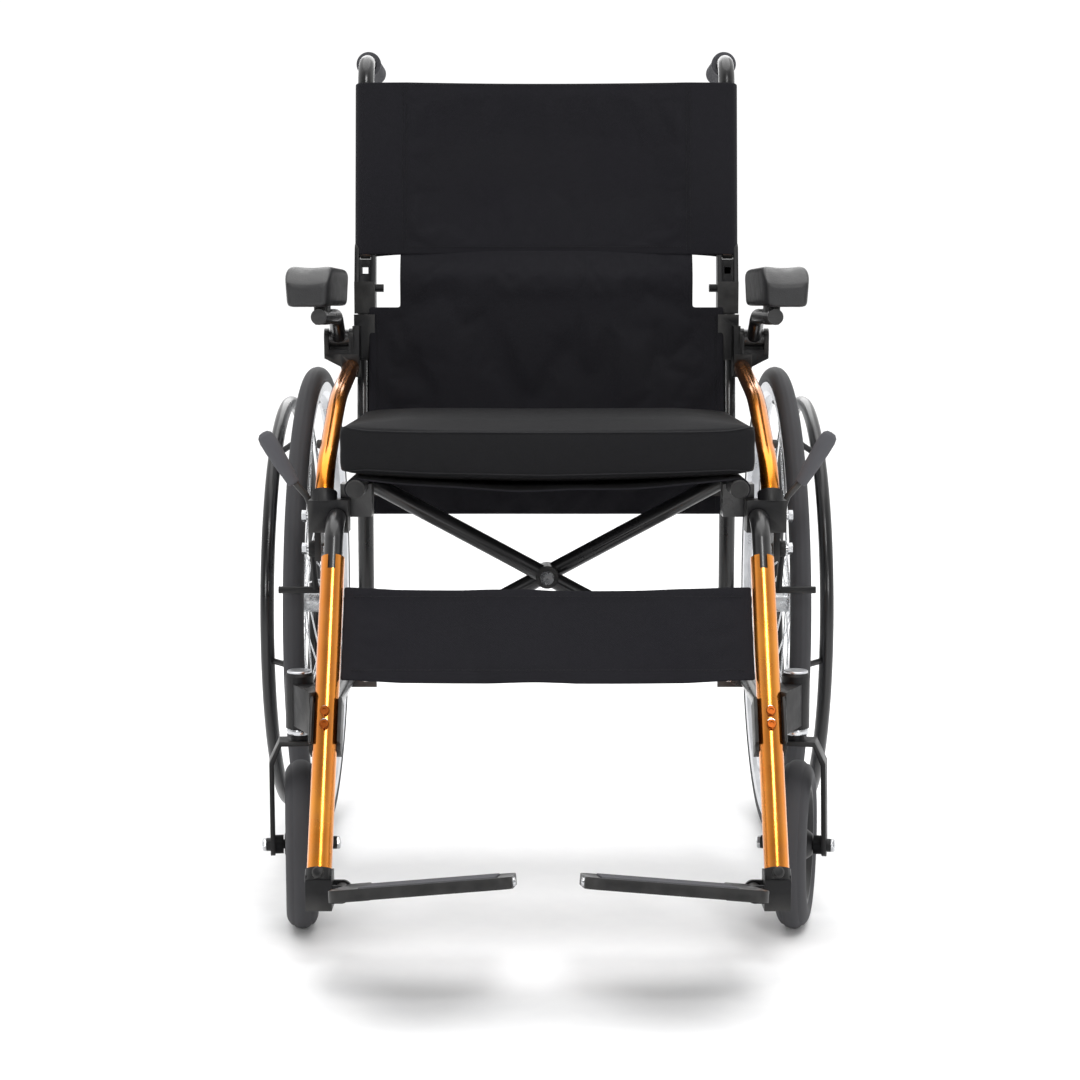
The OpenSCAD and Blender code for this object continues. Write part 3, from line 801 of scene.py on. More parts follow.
@dataclass
class SideFrames:
    """The two tubular side frames, with their castings, clamps and small fittings."""

    casting_round: float = 0.0018
    clamp_down: float = 0.182
    bracket_down: float = 0.342
    made: list[bpy.types.Object] = field(default_factory=list)

    def build(self) -> None:
        """Dress the tubes and make the castings and fittings of both sides."""
        self._tubes()
        self._castings()
        self._fittings()

    def _tubes(self) -> None:
        """Give the CAD tubes, axles and bolts their finishes."""
        nodes = frame["nodes"]
        for side in Side:
            for part in ("rear_upright", "upper_rail", "lower_rail"):
                GLOSS_BLACK.dress(nodes[f"{side.label}_{part}"])
            for part in ("arch_tube", "leg_tube"):
                AMBER.dress(nodes[f"{side.label}_{part}"])
            for part in ("frame_bolts", "wheel_axle"):
                STEEL.dress(nodes[f"{side.label}_{part}"])
        LOG.info("side frame tubes dressed")

    def _castings(self) -> None:
        """Round the castings that hold the tubes together."""
        for side in Side:
            for part in ("brake_mount", "caster_housing", "back_hinge", "arm_bracket", "footplate_bracket"):
                node = f"{side.label}_{part}"
                casting = from_node(node, f"{node}_casting", self.casting_round)
                CASTING.dress(casting)
                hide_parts(node)
                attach(casting, f"{side.label}_frame")
                self.made.append(casting)
        LOG.info("%d castings made", len(self.made))

    def _fittings(self) -> None:
        """Make the tube caps, the arch's clip, the leg's clamp halves and the caster barrel's cap."""
        leg_way = Vector((0, -math.sin(LEG_SLOPE), -math.cos(LEG_SLOPE)))
        leg_front = Vector((0, -math.cos(LEG_SLOPE), math.sin(LEG_SLOPE)))
        clamp_spot = LEG_TOP + leg_way * self.clamp_down
        for edge in (-1, 1):
            label = "outer" if edge > 0 else "inner"
            jaw = add_box(f"left_leg_clamp_{label}_jaw", (-0.0017, -0.0100, -0.0245),
                          (0.0017, 0.0110, 0.0245))
            bevel(jaw, 0.0012, 2)
            turn = Matrix.Rotation(-LEG_SLOPE, 4, "X")
            jaw.data.transform(Matrix.Translation(clamp_spot + Vector((edge * 0.0146, 0, 0))) @ turn)
            smooth(jaw)
            self._pair(jaw, CASTING)
        for height in (-0.016, 0.016):
            label = "upper" if height < 0 else "lower"
            spot = LEG_TOP + leg_way * (self.clamp_down + height * 0.45) + leg_front * 0.0155
            bolt = lathe(f"left_leg_{label}_bolt_cup",
                         [(0, -0.002), (0.0050, -0.002), (0.0050, 0.0008), (0.0042, 0.0016), (0.0024, 0.0016),
                          (0.0022, 0.0004), (0, 0.0004)], along_axis(spot, leg_front), 24)
            smooth(bolt)
            self._pair(bolt, SCREW)
        bracket_spot = LEG_TOP + leg_way * self.bracket_down + leg_front * 0.0135
        button = lathe("left_foot_bracket_bolt",
                       [(0, -0.001), (0.0058, -0.001), (0.0058, 0.0012), (0.0046, 0.0026), (0.0024, 0.0030),
                        (0, 0.0030)], along_axis(bracket_spot, leg_front), 28)
        smooth(button)
        self._pair(button, CASTING)
        self._arch_clip()
        self._barrel_caps()
        self._rail_plugs()
        LOG.info("tube caps, bands and clamps made")

    def _arch_clip(self) -> None:
        """A small black clip on the outer side of each arch."""
        low, high = Vector((0.242, -0.345 + AXLE_Y, 0.490)), Vector((0.242, -0.200 + AXLE_Y, 0.560))
        way = (high - low).normalized()
        clip = lathe("left_arch_clip",
                     [(0, -0.002), (0.0050, -0.002), (0.0050, 0.0030), (0.0038, 0.0042), (0, 0.0046)],
                     along_axis(low + way * 0.052 + Vector((0.0100, 0, 0)), (1, 0, 0)), 28)
        smooth(clip)
        self._pair(clip, CASTING)

    def _barrel_caps(self) -> None:
        """The flat caps over the caster bearings."""
        _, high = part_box("left_caster_housing")
        top = Vector((STEM_X, STEM_Y, high[2]))
        cap = lathe("left_barrel_cap",
                    [(0, -0.001), (0.0128, -0.001), (0.0128, 0.0006), (0.0120, 0.0012), (0, 0.0014)],
                    along_axis(top, (0, 0, 1)), 32)
        smooth(cap)
        self._pair(cap, RIM_METAL)

    def _rail_plugs(self) -> None:
        """Plastic plugs in the open tube ends."""
        for label, end, way, radius in (
                ("lower_rail_plug", (FRAME_X, -0.488 + AXLE_Y, 0.246), (0, -1, 0), 0.0100),
                ("upright_plug", (FRAME_X, AXLE_Y, 0.208), (0, 0, -1), 0.0110)):
            plug = lathe(f"left_{label}", [(0, -0.001), (radius + 0.0004, -0.001), (radius + 0.0004, 0.0022),
                                           (radius - 0.0012, 0.0036), (0, 0.0040)], along_axis(end, way), 32)
            smooth(plug)
            self._pair(plug, CASTING)

    def _pair(self, left: bpy.types.Object, finish: Finish) -> None:
        """Dress a left piece, mirror it and mount both on their side frames.

        Args:
            left: the left piece.
            finish: its finish.
        """
        for piece, side in ((left, Side.LEFT), (other_side(left), Side.RIGHT)):
            finish.dress(piece)
            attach(piece, f"{side.label}_frame")
            self.made.append(piece)


@dataclass
class ScissorBrace:
    """The crossed tubes under the seat, with their rails."""

    def build(self) -> None:
        """Dress the brace and its bolt and add its rail plugs."""
        nodes = frame["nodes"]
        GLOSS_BLACK.dress(nodes["cross_brace_a"], nodes["cross_brace_b"])
        STEEL.dress(nodes["cross_bolt"])
        for body, x in (("cross_a", SEAT_RAIL_X), ("cross_b", -SEAT_RAIL_X)):
            for label, y, way in (("front", -0.388 + AXLE_Y, -1), ("rear", -0.034 + AXLE_Y, 1)):
                plug = lathe(f"{body}_{label}_rail_plug",
                             [(0, -0.001), (0.0102, -0.001), (0.0102, 0.0020), (0.0088, 0.0034), (0, 0.0038)],
                             along_axis((x, y, SEAT_RAIL_Z), (0, way, 0)), 32)
                smooth(plug)
                CASTING.dress(plug)
                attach(plug, body)
        LOG.info("scissor brace made")


@dataclass
class BackCanes:
    """The folding back canes with their push grips."""

    rib_count: int = 17
    grip_radius: float = 0.0142
    rib_depth: float = 0.0011

    def build(self) -> None:
        """Dress the canes and make the ribbed grips."""
        for side in Side:
            GLOSS_BLACK.dress(frame["nodes"][f"{side.label}_back_cane"])
        low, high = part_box("left_push_grip")
        start = Vector((FRAME_X, low[1], (low[2] + high[2]) / 2))
        length = high[1] - low[1]
        outline = [(0.0102, 0.0), (0.0156, 0.0), (0.0158, 0.0015), (0.0158, 0.0045), (0.0146, 0.0060)]
        pitch = (length - 0.016) / self.rib_count
        for rib in range(self.rib_count):
            foot = 0.0070 + rib * pitch
            for share, height in ((0.10, 0.0), (0.30, 1.0), (0.70, 1.0), (0.90, 0.0)):
                outline.append((self.grip_radius - self.rib_depth * (1 - height), foot + pitch * share))
        outline += [(self.grip_radius, length - 0.0055), (self.grip_radius - 0.0015, length - 0.0020),
                    (0.0080, length - 0.0004), (0, length - 0.0001)]
        grip = lathe("left_grip", outline, along_axis(start, (0, 1, 0)), 48)
        smooth(grip, Shading.CRISP)
        for piece, side in ((grip, Side.LEFT), (other_side(grip), Side.RIGHT)):
            GRIP_RUBBER.dress(piece)
            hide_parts(f"{side.label}_push_grip")
            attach(piece, f"{side.label}_back")
        LOG.info("push grips made")


@dataclass
class Armrests:
    """The flip-back armrests, each a bent tube with a moulded pad."""

    cuts: int = 11
    corner: float = 0.010
    dish: float = 0.0035
    nose: float = 0.019
    tail: float = 0.010
    hollow: float = 0.004
    taper: float = 0.10

    def build(self) -> None:
        """Dress the tubes and make the pads."""
        pad = self._pad()
        block = self._mounting_block()
        for side in Side:
            GLOSS_BLACK.dress(frame["nodes"][f"{side.label}_armrest_frame"])
        for piece, finish in ((pad, PAD_SKIN), (block, CASTING)):
            for one, side in ((piece, Side.LEFT), (other_side(piece), Side.RIGHT)):
                finish.dress(one)
                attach(one, f"{side.label}_armrest")
                if piece is pad:
                    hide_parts(f"{side.label}_armrest_pad")
        LOG.info("armrest pads made")

    def _pad(self) -> bpy.types.Object:
        """The left pad: rounded, dished on top, with a waterfall nose and a drooping tail.

        Returns:
            The pad.
        """
        low, high = (Vector(corner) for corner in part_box("left_armrest_pad"))
        half, middle = (high - low) / 2, (low + high) / 2
        pad = add_box("left_pad", low, high)
        with edit_mode(pad):
            bpy.ops.mesh.select_all(action="SELECT")
            bpy.ops.mesh.subdivide(number_cuts=self.cuts)
        for vertex in pad.data.vertices:
            spot = vertex.co - middle
            core = Vector(max(-h, min(h, s)) for s, h in zip(spot, half - Vector((self.corner,) * 3)))
            if (spot - core).length > 1e-6:
                spot = core + (spot - core).normalized() * self.corner
            across, along, rise = spot.x / half.x, (spot.y / half.y + 1) / 2, (spot.z / half.z + 1) / 2
            droop = (self.nose * max(0.0, 1 - along / 0.18) ** 2
                     + self.tail * max(0.0, (along - 0.88) / 0.12) ** 2)
            spot.z -= (self.dish * (1 - across * across) + droop) * rise
            spot.z += self.hollow * (1 - rise) * (1 - across ** 4) * min(1.0, along / 0.2)
            spot.x *= 1 - self.taper * (1 - rise)
            vertex.co = middle + spot
        modify(pad, "SUBSURF", levels=2, render_levels=2)
        smooth(pad, Shading.SOFT)
        return pad

    def _mounting_block(self) -> bpy.types.Object:
        """The block that screws the left pad to its tube.

        Returns:
            The block.
        """
        low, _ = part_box("left_armrest_pad")
        block = add_box("left_pad_mount", (0.2495, low[1] + 0.030, 0.6440),
                        (0.2645, low[1] + 0.075, low[2] + 0.006))
        bevel(block, 0.0025, 3)
        smooth(block)
        return block


@dataclass
class Brakes:
    """The wheel locks: a splayed lever with a thick grip, and the bar that presses on the tyre."""

    grip_foot: Point = (0.2770, -0.340 + AXLE_Y, 0.4720)
    grip_end: Point = (0.3100, -0.3445 + AXLE_Y, 0.5285)
    rod_radius: float = 0.0036

    def build(self) -> None:
        """Make both levers and shoes."""
        foot, end = Vector(self.grip_foot), Vector(self.grip_end)
        length = (end - foot).length
        grip = lathe("left_lever_grip",
                     [(0, 0), (0.0052, 0), (0.0066, 0.0010), (0.0072, 0.008), (0.0086, 0.026),
                      (0.0094, 0.044), (0.0094, length - 0.010), (0.0082, length - 0.004),
                      (0.0050, length - 0.0008), (0, length)],
                     along_axis(foot, end - foot), 40)
        smooth(grip)
        pin = Vector((0.256 + 0.0032, -0.336 + AXLE_Y, 0.436))
        rod = curve_tube("left_lever_rod",
                         [pin + Vector((0, 0, 0.004)), pin + Vector((0.001, -0.0002, 0.013)),
                          pin + Vector((0.0045, -0.001, 0.022)), foot + (end - foot) * 0.12], self.rod_radius)
        boss = lathe("left_lever_boss",
                     [(0.0043, -0.0034), (0.0090, -0.0034), (0.0096, -0.0024), (0.0096, 0.0024),
                      (0.0090, 0.0034), (0.0043, 0.0034), (0.0043, -0.0034)],
                     along_axis(pin - Vector((0.001, 0, 0)), (1, 0, 0)), 32)
        smooth(boss)
        lever = join("left_lever_arm", [boss, rod])
        for piece, finish in ((grip, GRIP_RUBBER), (lever, CASTING)):
            for one, side in ((piece, Side.LEFT), (other_side(piece), Side.RIGHT)):
                finish.dress(one)
                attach(one, f"{side.label}_brake_lever")
                if piece is grip:
                    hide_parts(f"{side.label}_brake_lever")
        for side in Side:
            node = f"{side.label}_brake_shoe"
            shoe = from_node(node, f"{node}_bar", 0.0008)
            CASTING.dress(shoe)
            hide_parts(node)
            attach(shoe, node)
        LOG.info("wheel locks made")


@dataclass
class Footplates:
    """The flip-up footplates, ribbed on top and hollowed underneath."""

    hinge: Point = (0.205, -0.36712, 0.086)
    length: float = 0.172
    depth: float = 0.138
    thickness: float = 0.012
    toe_up: float = math.radians(14)
    rise: float = math.radians(4.6)
    ribs: int = 9

    def build(self) -> None:
        """Make both footplates with their hinge knuckles."""
        plate = self._plate()
        tread = self._tread()
        lug = self._lug()
        body = join("left_plate", [plate, lug])
        tip = self._tip()
        for piece, finish in ((body, CASTING), (tread, GRIP_RUBBER), (tip, STEEL)):
            for one, side in ((piece, Side.LEFT), (other_side(piece), Side.RIGHT)):
                finish.dress(one)
                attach(one, f"{side.label}_footplate")
                if piece is body:
                    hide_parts(f"{side.label}_footplate")
        LOG.info("footplates made")

    def _place(self, obj: bpy.types.Object, tipped: bool = True) -> None:
        """Move a piece from the plate's own axes to where the left plate stands.

        Args:
            obj: the piece.
            tipped: whether it tips up at the toe with the plate.
        """
        toe = Matrix.Rotation(-self.toe_up if tipped else 0.0, 4, "X")
        obj.data.transform(Matrix.Translation(self.hinge) @ Matrix.Rotation(self.rise, 4, "Y") @ toe)

    def _corners(self) -> tuple[Vector, Vector]:
        """The plate's lowest and highest corners on its own axes."""
        half = self.thickness / 2
        return (Vector((-0.003 - self.length, -0.0135 - self.depth, -half)), Vector((-0.003, -0.0135, half)))

    def _plate(self) -> bpy.types.Object:
        """The plate, with a raised rim on top and a hollow underneath.

        Returns:
            The plate.
        """
        low, high = self._corners()
        plate = add_box("left_plate", low, high)
        pick_edges(plate, lambda a, b: abs(a.x - b.x) < 1e-6 and abs(a.y - b.y) < 1e-6)
        with edit_mode(plate, "EDGE"):
            bpy.ops.mesh.bevel(offset=0.014, segments=6)
        for up, inset, depth in ((1, 0.006, -0.0016), (-1, 0.004, -0.0080)):
            pick_faces(plate, lambda face: face.normal.z * up > 0.9 and face.area > 0.01)
            with edit_mode(plate):
                bpy.ops.mesh.inset(thickness=inset)
                bpy.ops.transform.translate(value=(0, 0, up * depth))
        bevel(plate, 0.0010, 2, 50)
        smooth(plate)
        self._place(plate)
        return plate

    def _tread(self) -> bpy.types.Object:
        """The raised ribs that a shoe grips.

        Returns:
            The ribs as one mesh.
        """
        low, high = self._corners()
        bars = []
        span = high.y - low.y - 0.028
        for index in range(self.ribs):
            y = low.y + 0.014 + span * index / (self.ribs - 1)
            bar = add_box(f"left_tread_{index}", (low.x + 0.016, y - 0.0024, high.z - 0.0018),
                          (high.x - 0.028, y + 0.0024, high.z + 0.0006))
            bevel(bar, 0.0009, 2)
            bars.append(bar)
        tread = join("left_tread", bars)
        smooth(tread)
        self._place(tread)
        return tread

    def _lug(self) -> bpy.types.Object:
        """The knuckle and pin that the plate swings on.

        Returns:
            The knuckle and its pin as one mesh.
        """
        block = add_box("left_plate_lug", (-0.030, -0.0200, -0.0062), (-0.002, 0.0074, 0.0056))
        bevel(block, 0.0018, 3)
        barrel = lathe("left_plate_barrel",
                       [(0, -0.0076), (0.0066, -0.0076), (0.0074, -0.0068), (0.0074, 0.0068),
                        (0.0066, 0.0076), (0, 0.0076)], along_axis((0, 0, 0), (0, 1, 0)), 32)
        pin = lathe("left_plate_pin", [(0, -0.0148), (0.0034, -0.0148), (0.0040, -0.0140), (0.0040, 0.0140),
                                       (0.0034, 0.0148), (0, 0.0148)], along_axis((0, 0, 0), (0, 1, 0)), 24)
        lug = join("left_plate_lug", [block, barrel, pin])
        smooth(lug)
        self._place(lug, tipped=False)
        return lug

    def _tip(self) -> bpy.types.Object:
        """The small metal stop at the plate's inner front corner.

        Returns:
            The stop.
        """
        low, _ = self._corners()
        tip = lathe("left_plate_stop",
                    [(0, -0.001), (0.0042, -0.001), (0.0042, 0.0016), (0.0032, 0.0026), (0, 0.0028)],
                    along_axis((low.x + 0.0002, low.y + 0.024, 0.0005), (-1, 0, 0)), 24)
        smooth(tip)
        self._place(tip)
        return tip


@dataclass
class Casters:
    """The front casters: a flat-strip fork, a spoked moulded wheel and a solid tyre."""

    spokes: int = 5
    tyre_width: float = 0.034
    rim_radius: float = 0.064

    def build(self) -> None:
        """Make both casters at the angles they stand at."""
        steer = {j["name"]: Vector(j["axis"]) for j in frame["joints"]}
        wheel = self._wheel()
        tyre = self._tyre()
        for side in Side:
            axis = steer[f"{side.label}_caster_roll"]
            low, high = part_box(f"{side.label}_caster_tyre")
            centre = (Vector(low) + Vector(high)) / 2
            turn = Matrix.Rotation(math.atan2(axis.y, axis.x), 4, "Z")
            place = Matrix.Translation(centre) @ turn
            for model, part, finish in ((wheel, "caster_hub", WHEEL_PLASTIC), (tyre, "caster_tyre", TYRE)):
                piece = copied(model, f"{side.label}_{part}_moulding", place)
                finish.dress(piece)
                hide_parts(f"{side.label}_{part}")
                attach(piece, f"{side.label}_caster_wheel")
            fork = from_node(f"{side.label}_caster_fork", f"{side.label}_fork", 0.0010)
            CASTING.dress(fork)
            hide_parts(f"{side.label}_caster_fork")
            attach(fork, f"{side.label}_caster")
            washer = lathe(f"{side.label}_stem_washer", [(0.0062, 0.2172), (0.0135, 0.2172), (0.0140, 0.2180),
                                                         (0.0140, 0.2224), (0.0135, 0.2232), (0.0062, 0.2232),
                                                         (0.0062, 0.2172)],
                           Matrix.Translation((side.value * STEM_X, STEM_Y, 0)), 32)
            smooth(washer)
            STEEL.dress(washer)
            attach(washer, f"{side.label}_caster")
            for edge in (-1, 1):
                nut = self._nut(f"{side.label}_caster_nut_{'outer' if edge > 0 else 'inner'}", edge)
                nut.data.transform(place)
                STEEL.dress(nut)
                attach(nut, f"{side.label}_caster")
        for model in (wheel, tyre):
            bpy.data.objects.remove(model)
        LOG.info("casters made")

    def _wheel(self) -> bpy.types.Object:
        """The moulded wheel about the X axis at the origin.

        Returns:
            The wheel.
        """
        half = self.tyre_width / 2
        outer = self.rim_radius
        x_axis = along_axis((0, 0, 0), (1, 0, 0))
        ring = lathe("caster_ring",
                     [(outer, -half + 0.003), (outer, half - 0.003), (outer - 0.005, half - 0.003),
                      (outer - 0.008, half - 0.007), (outer - 0.009, 0.002), (outer - 0.009, -0.002),
                      (outer - 0.008, -half + 0.007), (outer - 0.005, -half + 0.003), (outer, -half + 0.003)],
                     x_axis, 72)
        boss = lathe("caster_boss",
                     [(0.0051, -half - 0.001), (0.0105, -half - 0.001), (0.0120, -half),
                      (0.0165, -half + 0.006), (0.0165, half - 0.006), (0.0120, half),
                      (0.0105, half + 0.001), (0.0051, half + 0.001), (0.0051, -half - 0.001)], x_axis, 48)
        spoke = add_box("caster_spoke", (-0.0075, -0.0065, 0.012), (0.0075, 0.0065, outer - 0.006))
        pick_faces(spoke, lambda face: face.normal.z > 0.9)
        with edit_mode(spoke):
            bpy.ops.transform.resize(value=(0.9, 1.9, 1))
        pick_faces(spoke, lambda face: abs(face.normal.x) > 0.9)
        with edit_mode(spoke):
            bpy.ops.mesh.inset(thickness=0.0028)
            bpy.ops.transform.resize(value=(0.45, 1, 1))
        bevel(spoke, 0.0015, 2, 25)
        parts = [ring, boss]
        for index in range(self.spokes):
            turn = Matrix.Rotation(index * 2 * math.pi / self.spokes, 4, "X")
            parts.append(copied(spoke, f"caster_spoke_{index}", turn))
        bpy.data.objects.remove(spoke)
        wheel = join("caster_wheel_model", parts)
        smooth(wheel)
        return wheel

    def _tyre(self) -> bpy.types.Object:
        """The solid tyre about the X axis at the origin, with two shallow grooves.

        Returns:
            The tyre.
        """
        half = self.tyre_width / 2
        middle = 0.090 - half
        outline = [(self.rim_radius - 0.0005, -half + 0.004), (self.rim_radius - 0.0005, half - 0.004)]
        for step in range(0, 25):
            angle = math.radians(100 - step * 200 / 24)
            groove = 0.0009 if abs(abs(angle) - math.radians(33)) < math.radians(5) else 0.0
            reach = half - groove
            outline.append((middle + reach * math.cos(angle), reach * math.sin(angle)))
        outline.append(outline[0])
        tyre = lathe("caster_tyre_model", outline, along_axis((0, 0, 0), (1, 0, 0)), 96)
        smooth(tyre)
        return tyre

    def _nut(self, name: str, edge: int) -> bpy.types.Object:
        """A hexagonal axle nut outside the fork arm, on the given edge of the wheel at the origin.

        Args:
            name: the nut's name.
            edge: 1 for the outer side of the wheel, -1 for the inner.

        Returns:
            The nut.
        """
        nut = lathe(name,
                    [(0, 0), (0.0072, 0), (0.0072, 0.0030), (0.0060, 0.0040), (0.0030, 0.0042), (0, 0.0050)],
                    along_axis((edge * 0.0376, 0, 0), (edge, 0, 0)), 6)
        bevel(nut, 0.0004, 1, 20)
        return nut


@dataclass
class RearWheels:
    """The big spoked wheels with their tyres and hand rims."""

    centre: Point = (0.287, AXLE_Y, 0.295)
    radius: float = 0.295
    tyre_width: float = 0.024
    rim_radius: float = 0.273

    def build(self) -> None:
        """Dress the wheels and make the ribbed tyres, hub caps and valves."""
        tyre = self._tyre()
        cap = self._axle_cap()
        valve = self._valve()
        nodes = frame["nodes"]
        for side in Side:
            STEEL.dress(nodes[f"{side.label}_wheel_hub"])
            RIM_METAL.dress(nodes[f"{side.label}_wheel_rim"])
            RIM_COAT.dress(nodes[f"{side.label}_hand_rim"])
        for piece, finish in ((tyre, TYRE), (cap, WHEEL_PLASTIC), (valve, STEEL)):
            for one, side in ((piece, Side.LEFT), (other_side(piece), Side.RIGHT)):
                finish.dress(one)
                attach(one, f"{side.label}_wheel" if piece is not cap else f"{side.label}_frame")
                if piece is tyre:
                    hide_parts(f"{side.label}_wheel_tyre")
        LOG.info("rear wheels made")

    def _tyre(self) -> bpy.types.Object:
        """The left tyre, with fine ribs round its tread.

        Returns:
            The tyre.
        """
        half = self.tyre_width / 2
        middle = self.radius - half
        outline = [(self.rim_radius + 0.0006, -0.0088), (self.rim_radius - 0.0006, -0.0060),
                   (self.rim_radius - 0.0006, 0.0060), (self.rim_radius + 0.0006, 0.0088),
                   (self.rim_radius + 0.0036, 0.0094)]
        steps = 30
        first = math.radians(112)
        for step in range(steps + 1):
            angle = first - 2 * first * step / steps
            groove = 0.0004 if abs(angle) < math.radians(40) and step % 4 == 1 else 0.0
            outline.append((middle + (half - groove) * math.cos(angle), (half - groove) * math.sin(angle)))
        outline = [point for point in outline if point[0] >= self.rim_radius - 0.001]
        outline += [(self.rim_radius + 0.0036, -0.0094), outline[0]]
        tyre = lathe("left_tyre", outline, along_axis(self.centre, (1, 0, 0)), 144)
        smooth(tyre)
        return tyre

    def _axle_cap(self) -> bpy.types.Object:
        """The push button of the left wheel's quick-release axle.

        Returns:
            The button.
        """
        _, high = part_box("left_wheel_axle")
        cap = lathe("left_axle_button", [(0, -0.001), (0.0072, -0.001), (0.0072, 0.0008), (0.0060, 0.0020),
                                         (0.0036, 0.0024), (0, 0.0024)],
                    along_axis((high[0], self.centre[1], self.centre[2]), (1, 0, 0)), 32)
        smooth(cap)
        return cap

    def _valve(self) -> bpy.types.Object:
        """The left tyre's valve, standing in from the rim.

        Returns:
            The valve.
        """
        tilt = math.radians(205)
        way = Vector((0, -math.sin(tilt), -math.cos(tilt)))
        foot = Vector(self.centre) - way * (self.rim_radius - 0.014)
        valve = lathe("left_valve",
                      [(0, -0.002), (0.0031, -0.002), (0.0031, 0.012), (0.0026, 0.0125), (0.0026, 0.0200),
                       (0.0018, 0.0245), (0, 0.0250)], along_axis(foot, way), 20)
        smooth(valve)
        return valve


# ------------------------------------------------------------------ soft goods


@dataclass
class Seat:
    """The folding seat: a sling on two rails and a boxed foam cushion on it."""

    sag: float = 0.0150
    sling_thickness: float = 0.0016
    wrap_radius: float = 0.0112
    voxel: float = 0.006
    crown: float = 0.0035
    dip: float = 0.0085

    def build(self) -> None:
        """Make the sling and the cushion."""
        self._sling()
        self._cushion()

    def _fold(self, piece: bpy.types.Object) -> None:
        """Move a piece's placement into its mesh."""
        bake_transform(piece)

    def _sling_path(self) -> list[Vector]:
        """The sling's section in X and Z, from under one rail to under the other.

        Returns:
            The section's points in order.
        """
        turn = 14
        half = []
        for step in range(turn + 1):
            angle = math.radians(-50 + step * 140 / turn)
            half.append(Vector((SEAT_RAIL_X + self.wrap_radius * math.cos(angle), 0,
                                SEAT_RAIL_Z + self.wrap_radius * math.sin(angle))))
        top = SEAT_RAIL_Z + self.wrap_radius
        count = 24
        for step in range(1, count + 1):
            x = SEAT_RAIL_X * (1 - step / count)
            half.append(Vector((x, 0, top - self.sag * 0.85 * (1 - (x / SEAT_RAIL_X) ** 2))))
        return half + [Vector((-p.x, 0, p.z)) for p in reversed(half[:-1])]

    def _sling(self) -> None:
        """The sling, wrapped round both rails."""
        low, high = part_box("seat_sling")
        section = self._sling_path()
        last = len(section) - 1

        def place(across: float, along: float) -> Vector:
            """The sling's point at these shares.

            Args:
                across: the share across, from 0 to 1.
                along: the share front to back, from 0 to 1.

            Returns:
                The point.
            """
            spot = section[round(across * last)]
            ripple = 0.0012 * math.sin(spot.x * 46 + along * 3) * (1 - abs(spot.x) / 0.22)
            return Vector((spot.x, low[1] + (high[1] - low[1]) * along, spot.z + ripple))

        sling = sheet_grid("sling", last, 40, place)
        modify(sling, "SOLIDIFY", thickness=self.sling_thickness, offset=0)
        tidy_mesh(sling, 1e-6)
        smooth(sling, Shading.SOFT)
        NYLON.dress(sling)
        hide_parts("seat_sling")
        self._fold(sling)

    def _cushion(self) -> None:
        """The foam cushion, crowned on top and dipping with the sling underneath."""
        low, high = (Vector(corner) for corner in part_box("seat_cushion"))
        inset = Vector((0.004, 0.004, 0.003))
        cushion = add_box("cushion", low + inset, high - inset)
        bevel(cushion, 0.009, 3)
        modify(cushion, "REMESH", mode="VOXEL", voxel_size=self.voxel)
        middle = (low + high) / 2
        size = high - low

        def held(point: Vector) -> float:
            """How firmly the cover is held: at its top and bottom edge seams.

            Args:
                point: a point of the cover.

            Returns:
                1 where it is held fast, 0 where it is free.
            """
            edge = max(abs(point.x - middle.x) / (size.x / 2), abs(point.y - middle.y) / (size.y / 2))
            level = abs(point.z - middle.z) / (size.z / 2)
            return 1.0 if edge > 0.955 and level > 0.72 else 0.0

        Cloth(slack=0.0, pressure=4.0, cap=0.0045, bending=1.0).drape(cushion, held)
        for vertex in cushion.data.vertices:
            across = (vertex.co.x - middle.x) / (size.x / 2)
            along = (vertex.co.y - middle.y) / (size.y / 2)
            rise = (vertex.co.z - low.z) / size.z
            bowl = max(0.0, 1 - across * across)
            fullness = max(0.0, 1 - along ** 4)
            lump = 0.0008 * noise.noise(vertex.co * 9)
            swell = (self.crown * fullness - 0.0035) * bowl * rise
            vertex.co.z += -self.dip * bowl * (1 - rise) + swell + lump
            vertex.co.x -= 0.0022 * across * (1 - min(1.0, abs(2 * rise - 1) * 1.1)) * 0.5
        modify(cushion, "SUBSURF", levels=1, render_levels=1)
        smooth(cushion, Shading.SOFT)
        CUSHION_CLOTH.dress(cushion)
        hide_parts("seat_cushion")
        seams = [self._seam(cushion, level, label) for level, label in ((0.90, "upper"), (0.10, "lower"))]
        self._fold(cushion)
        for seam in seams:
            self._fold(seam)
        LOG.info("seat cushion made")

    def _seam(self, cushion: bpy.types.Object, level: float, label: str) -> bpy.types.Object:
        """A sewn edge seam that runs right round the cushion.

        Args:
            cushion: the cushion that it lies on.
            level: how far up the cushion's side it is, from 0 to 1.
            label: upper or lower.

        Returns:
            The seam.
        """
        low, high = (Vector(corner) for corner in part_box("seat_cushion"))
        middle, half = (low + high) / 2, (high - low) / 2
        points = []
        count = 220
        for step in range(count):
            angle = 2 * math.pi * step / count
            c, s = math.cos(angle), math.sin(angle)
            power = 0.16
            guess = Vector((middle.x + half.x * math.copysign(abs(c) ** power, c),
                            middle.y + half.y * math.copysign(abs(s) ** power, s),
                            low.z + 2 * half.z * level))
            across = (guess.x - middle.x) / half.x
            guess.z -= self.dip * (1 - across * across) * (1 - level)
            found, spot, normal, _ = cushion.closest_point_on_mesh(guess)
            points.append(spot + normal * 0.0002 if found else guess)
        seam = curve_tube(f"cushion_{label}_seam", points, 0.0009, closed=True)
        THREAD.dress(seam)
        return seam


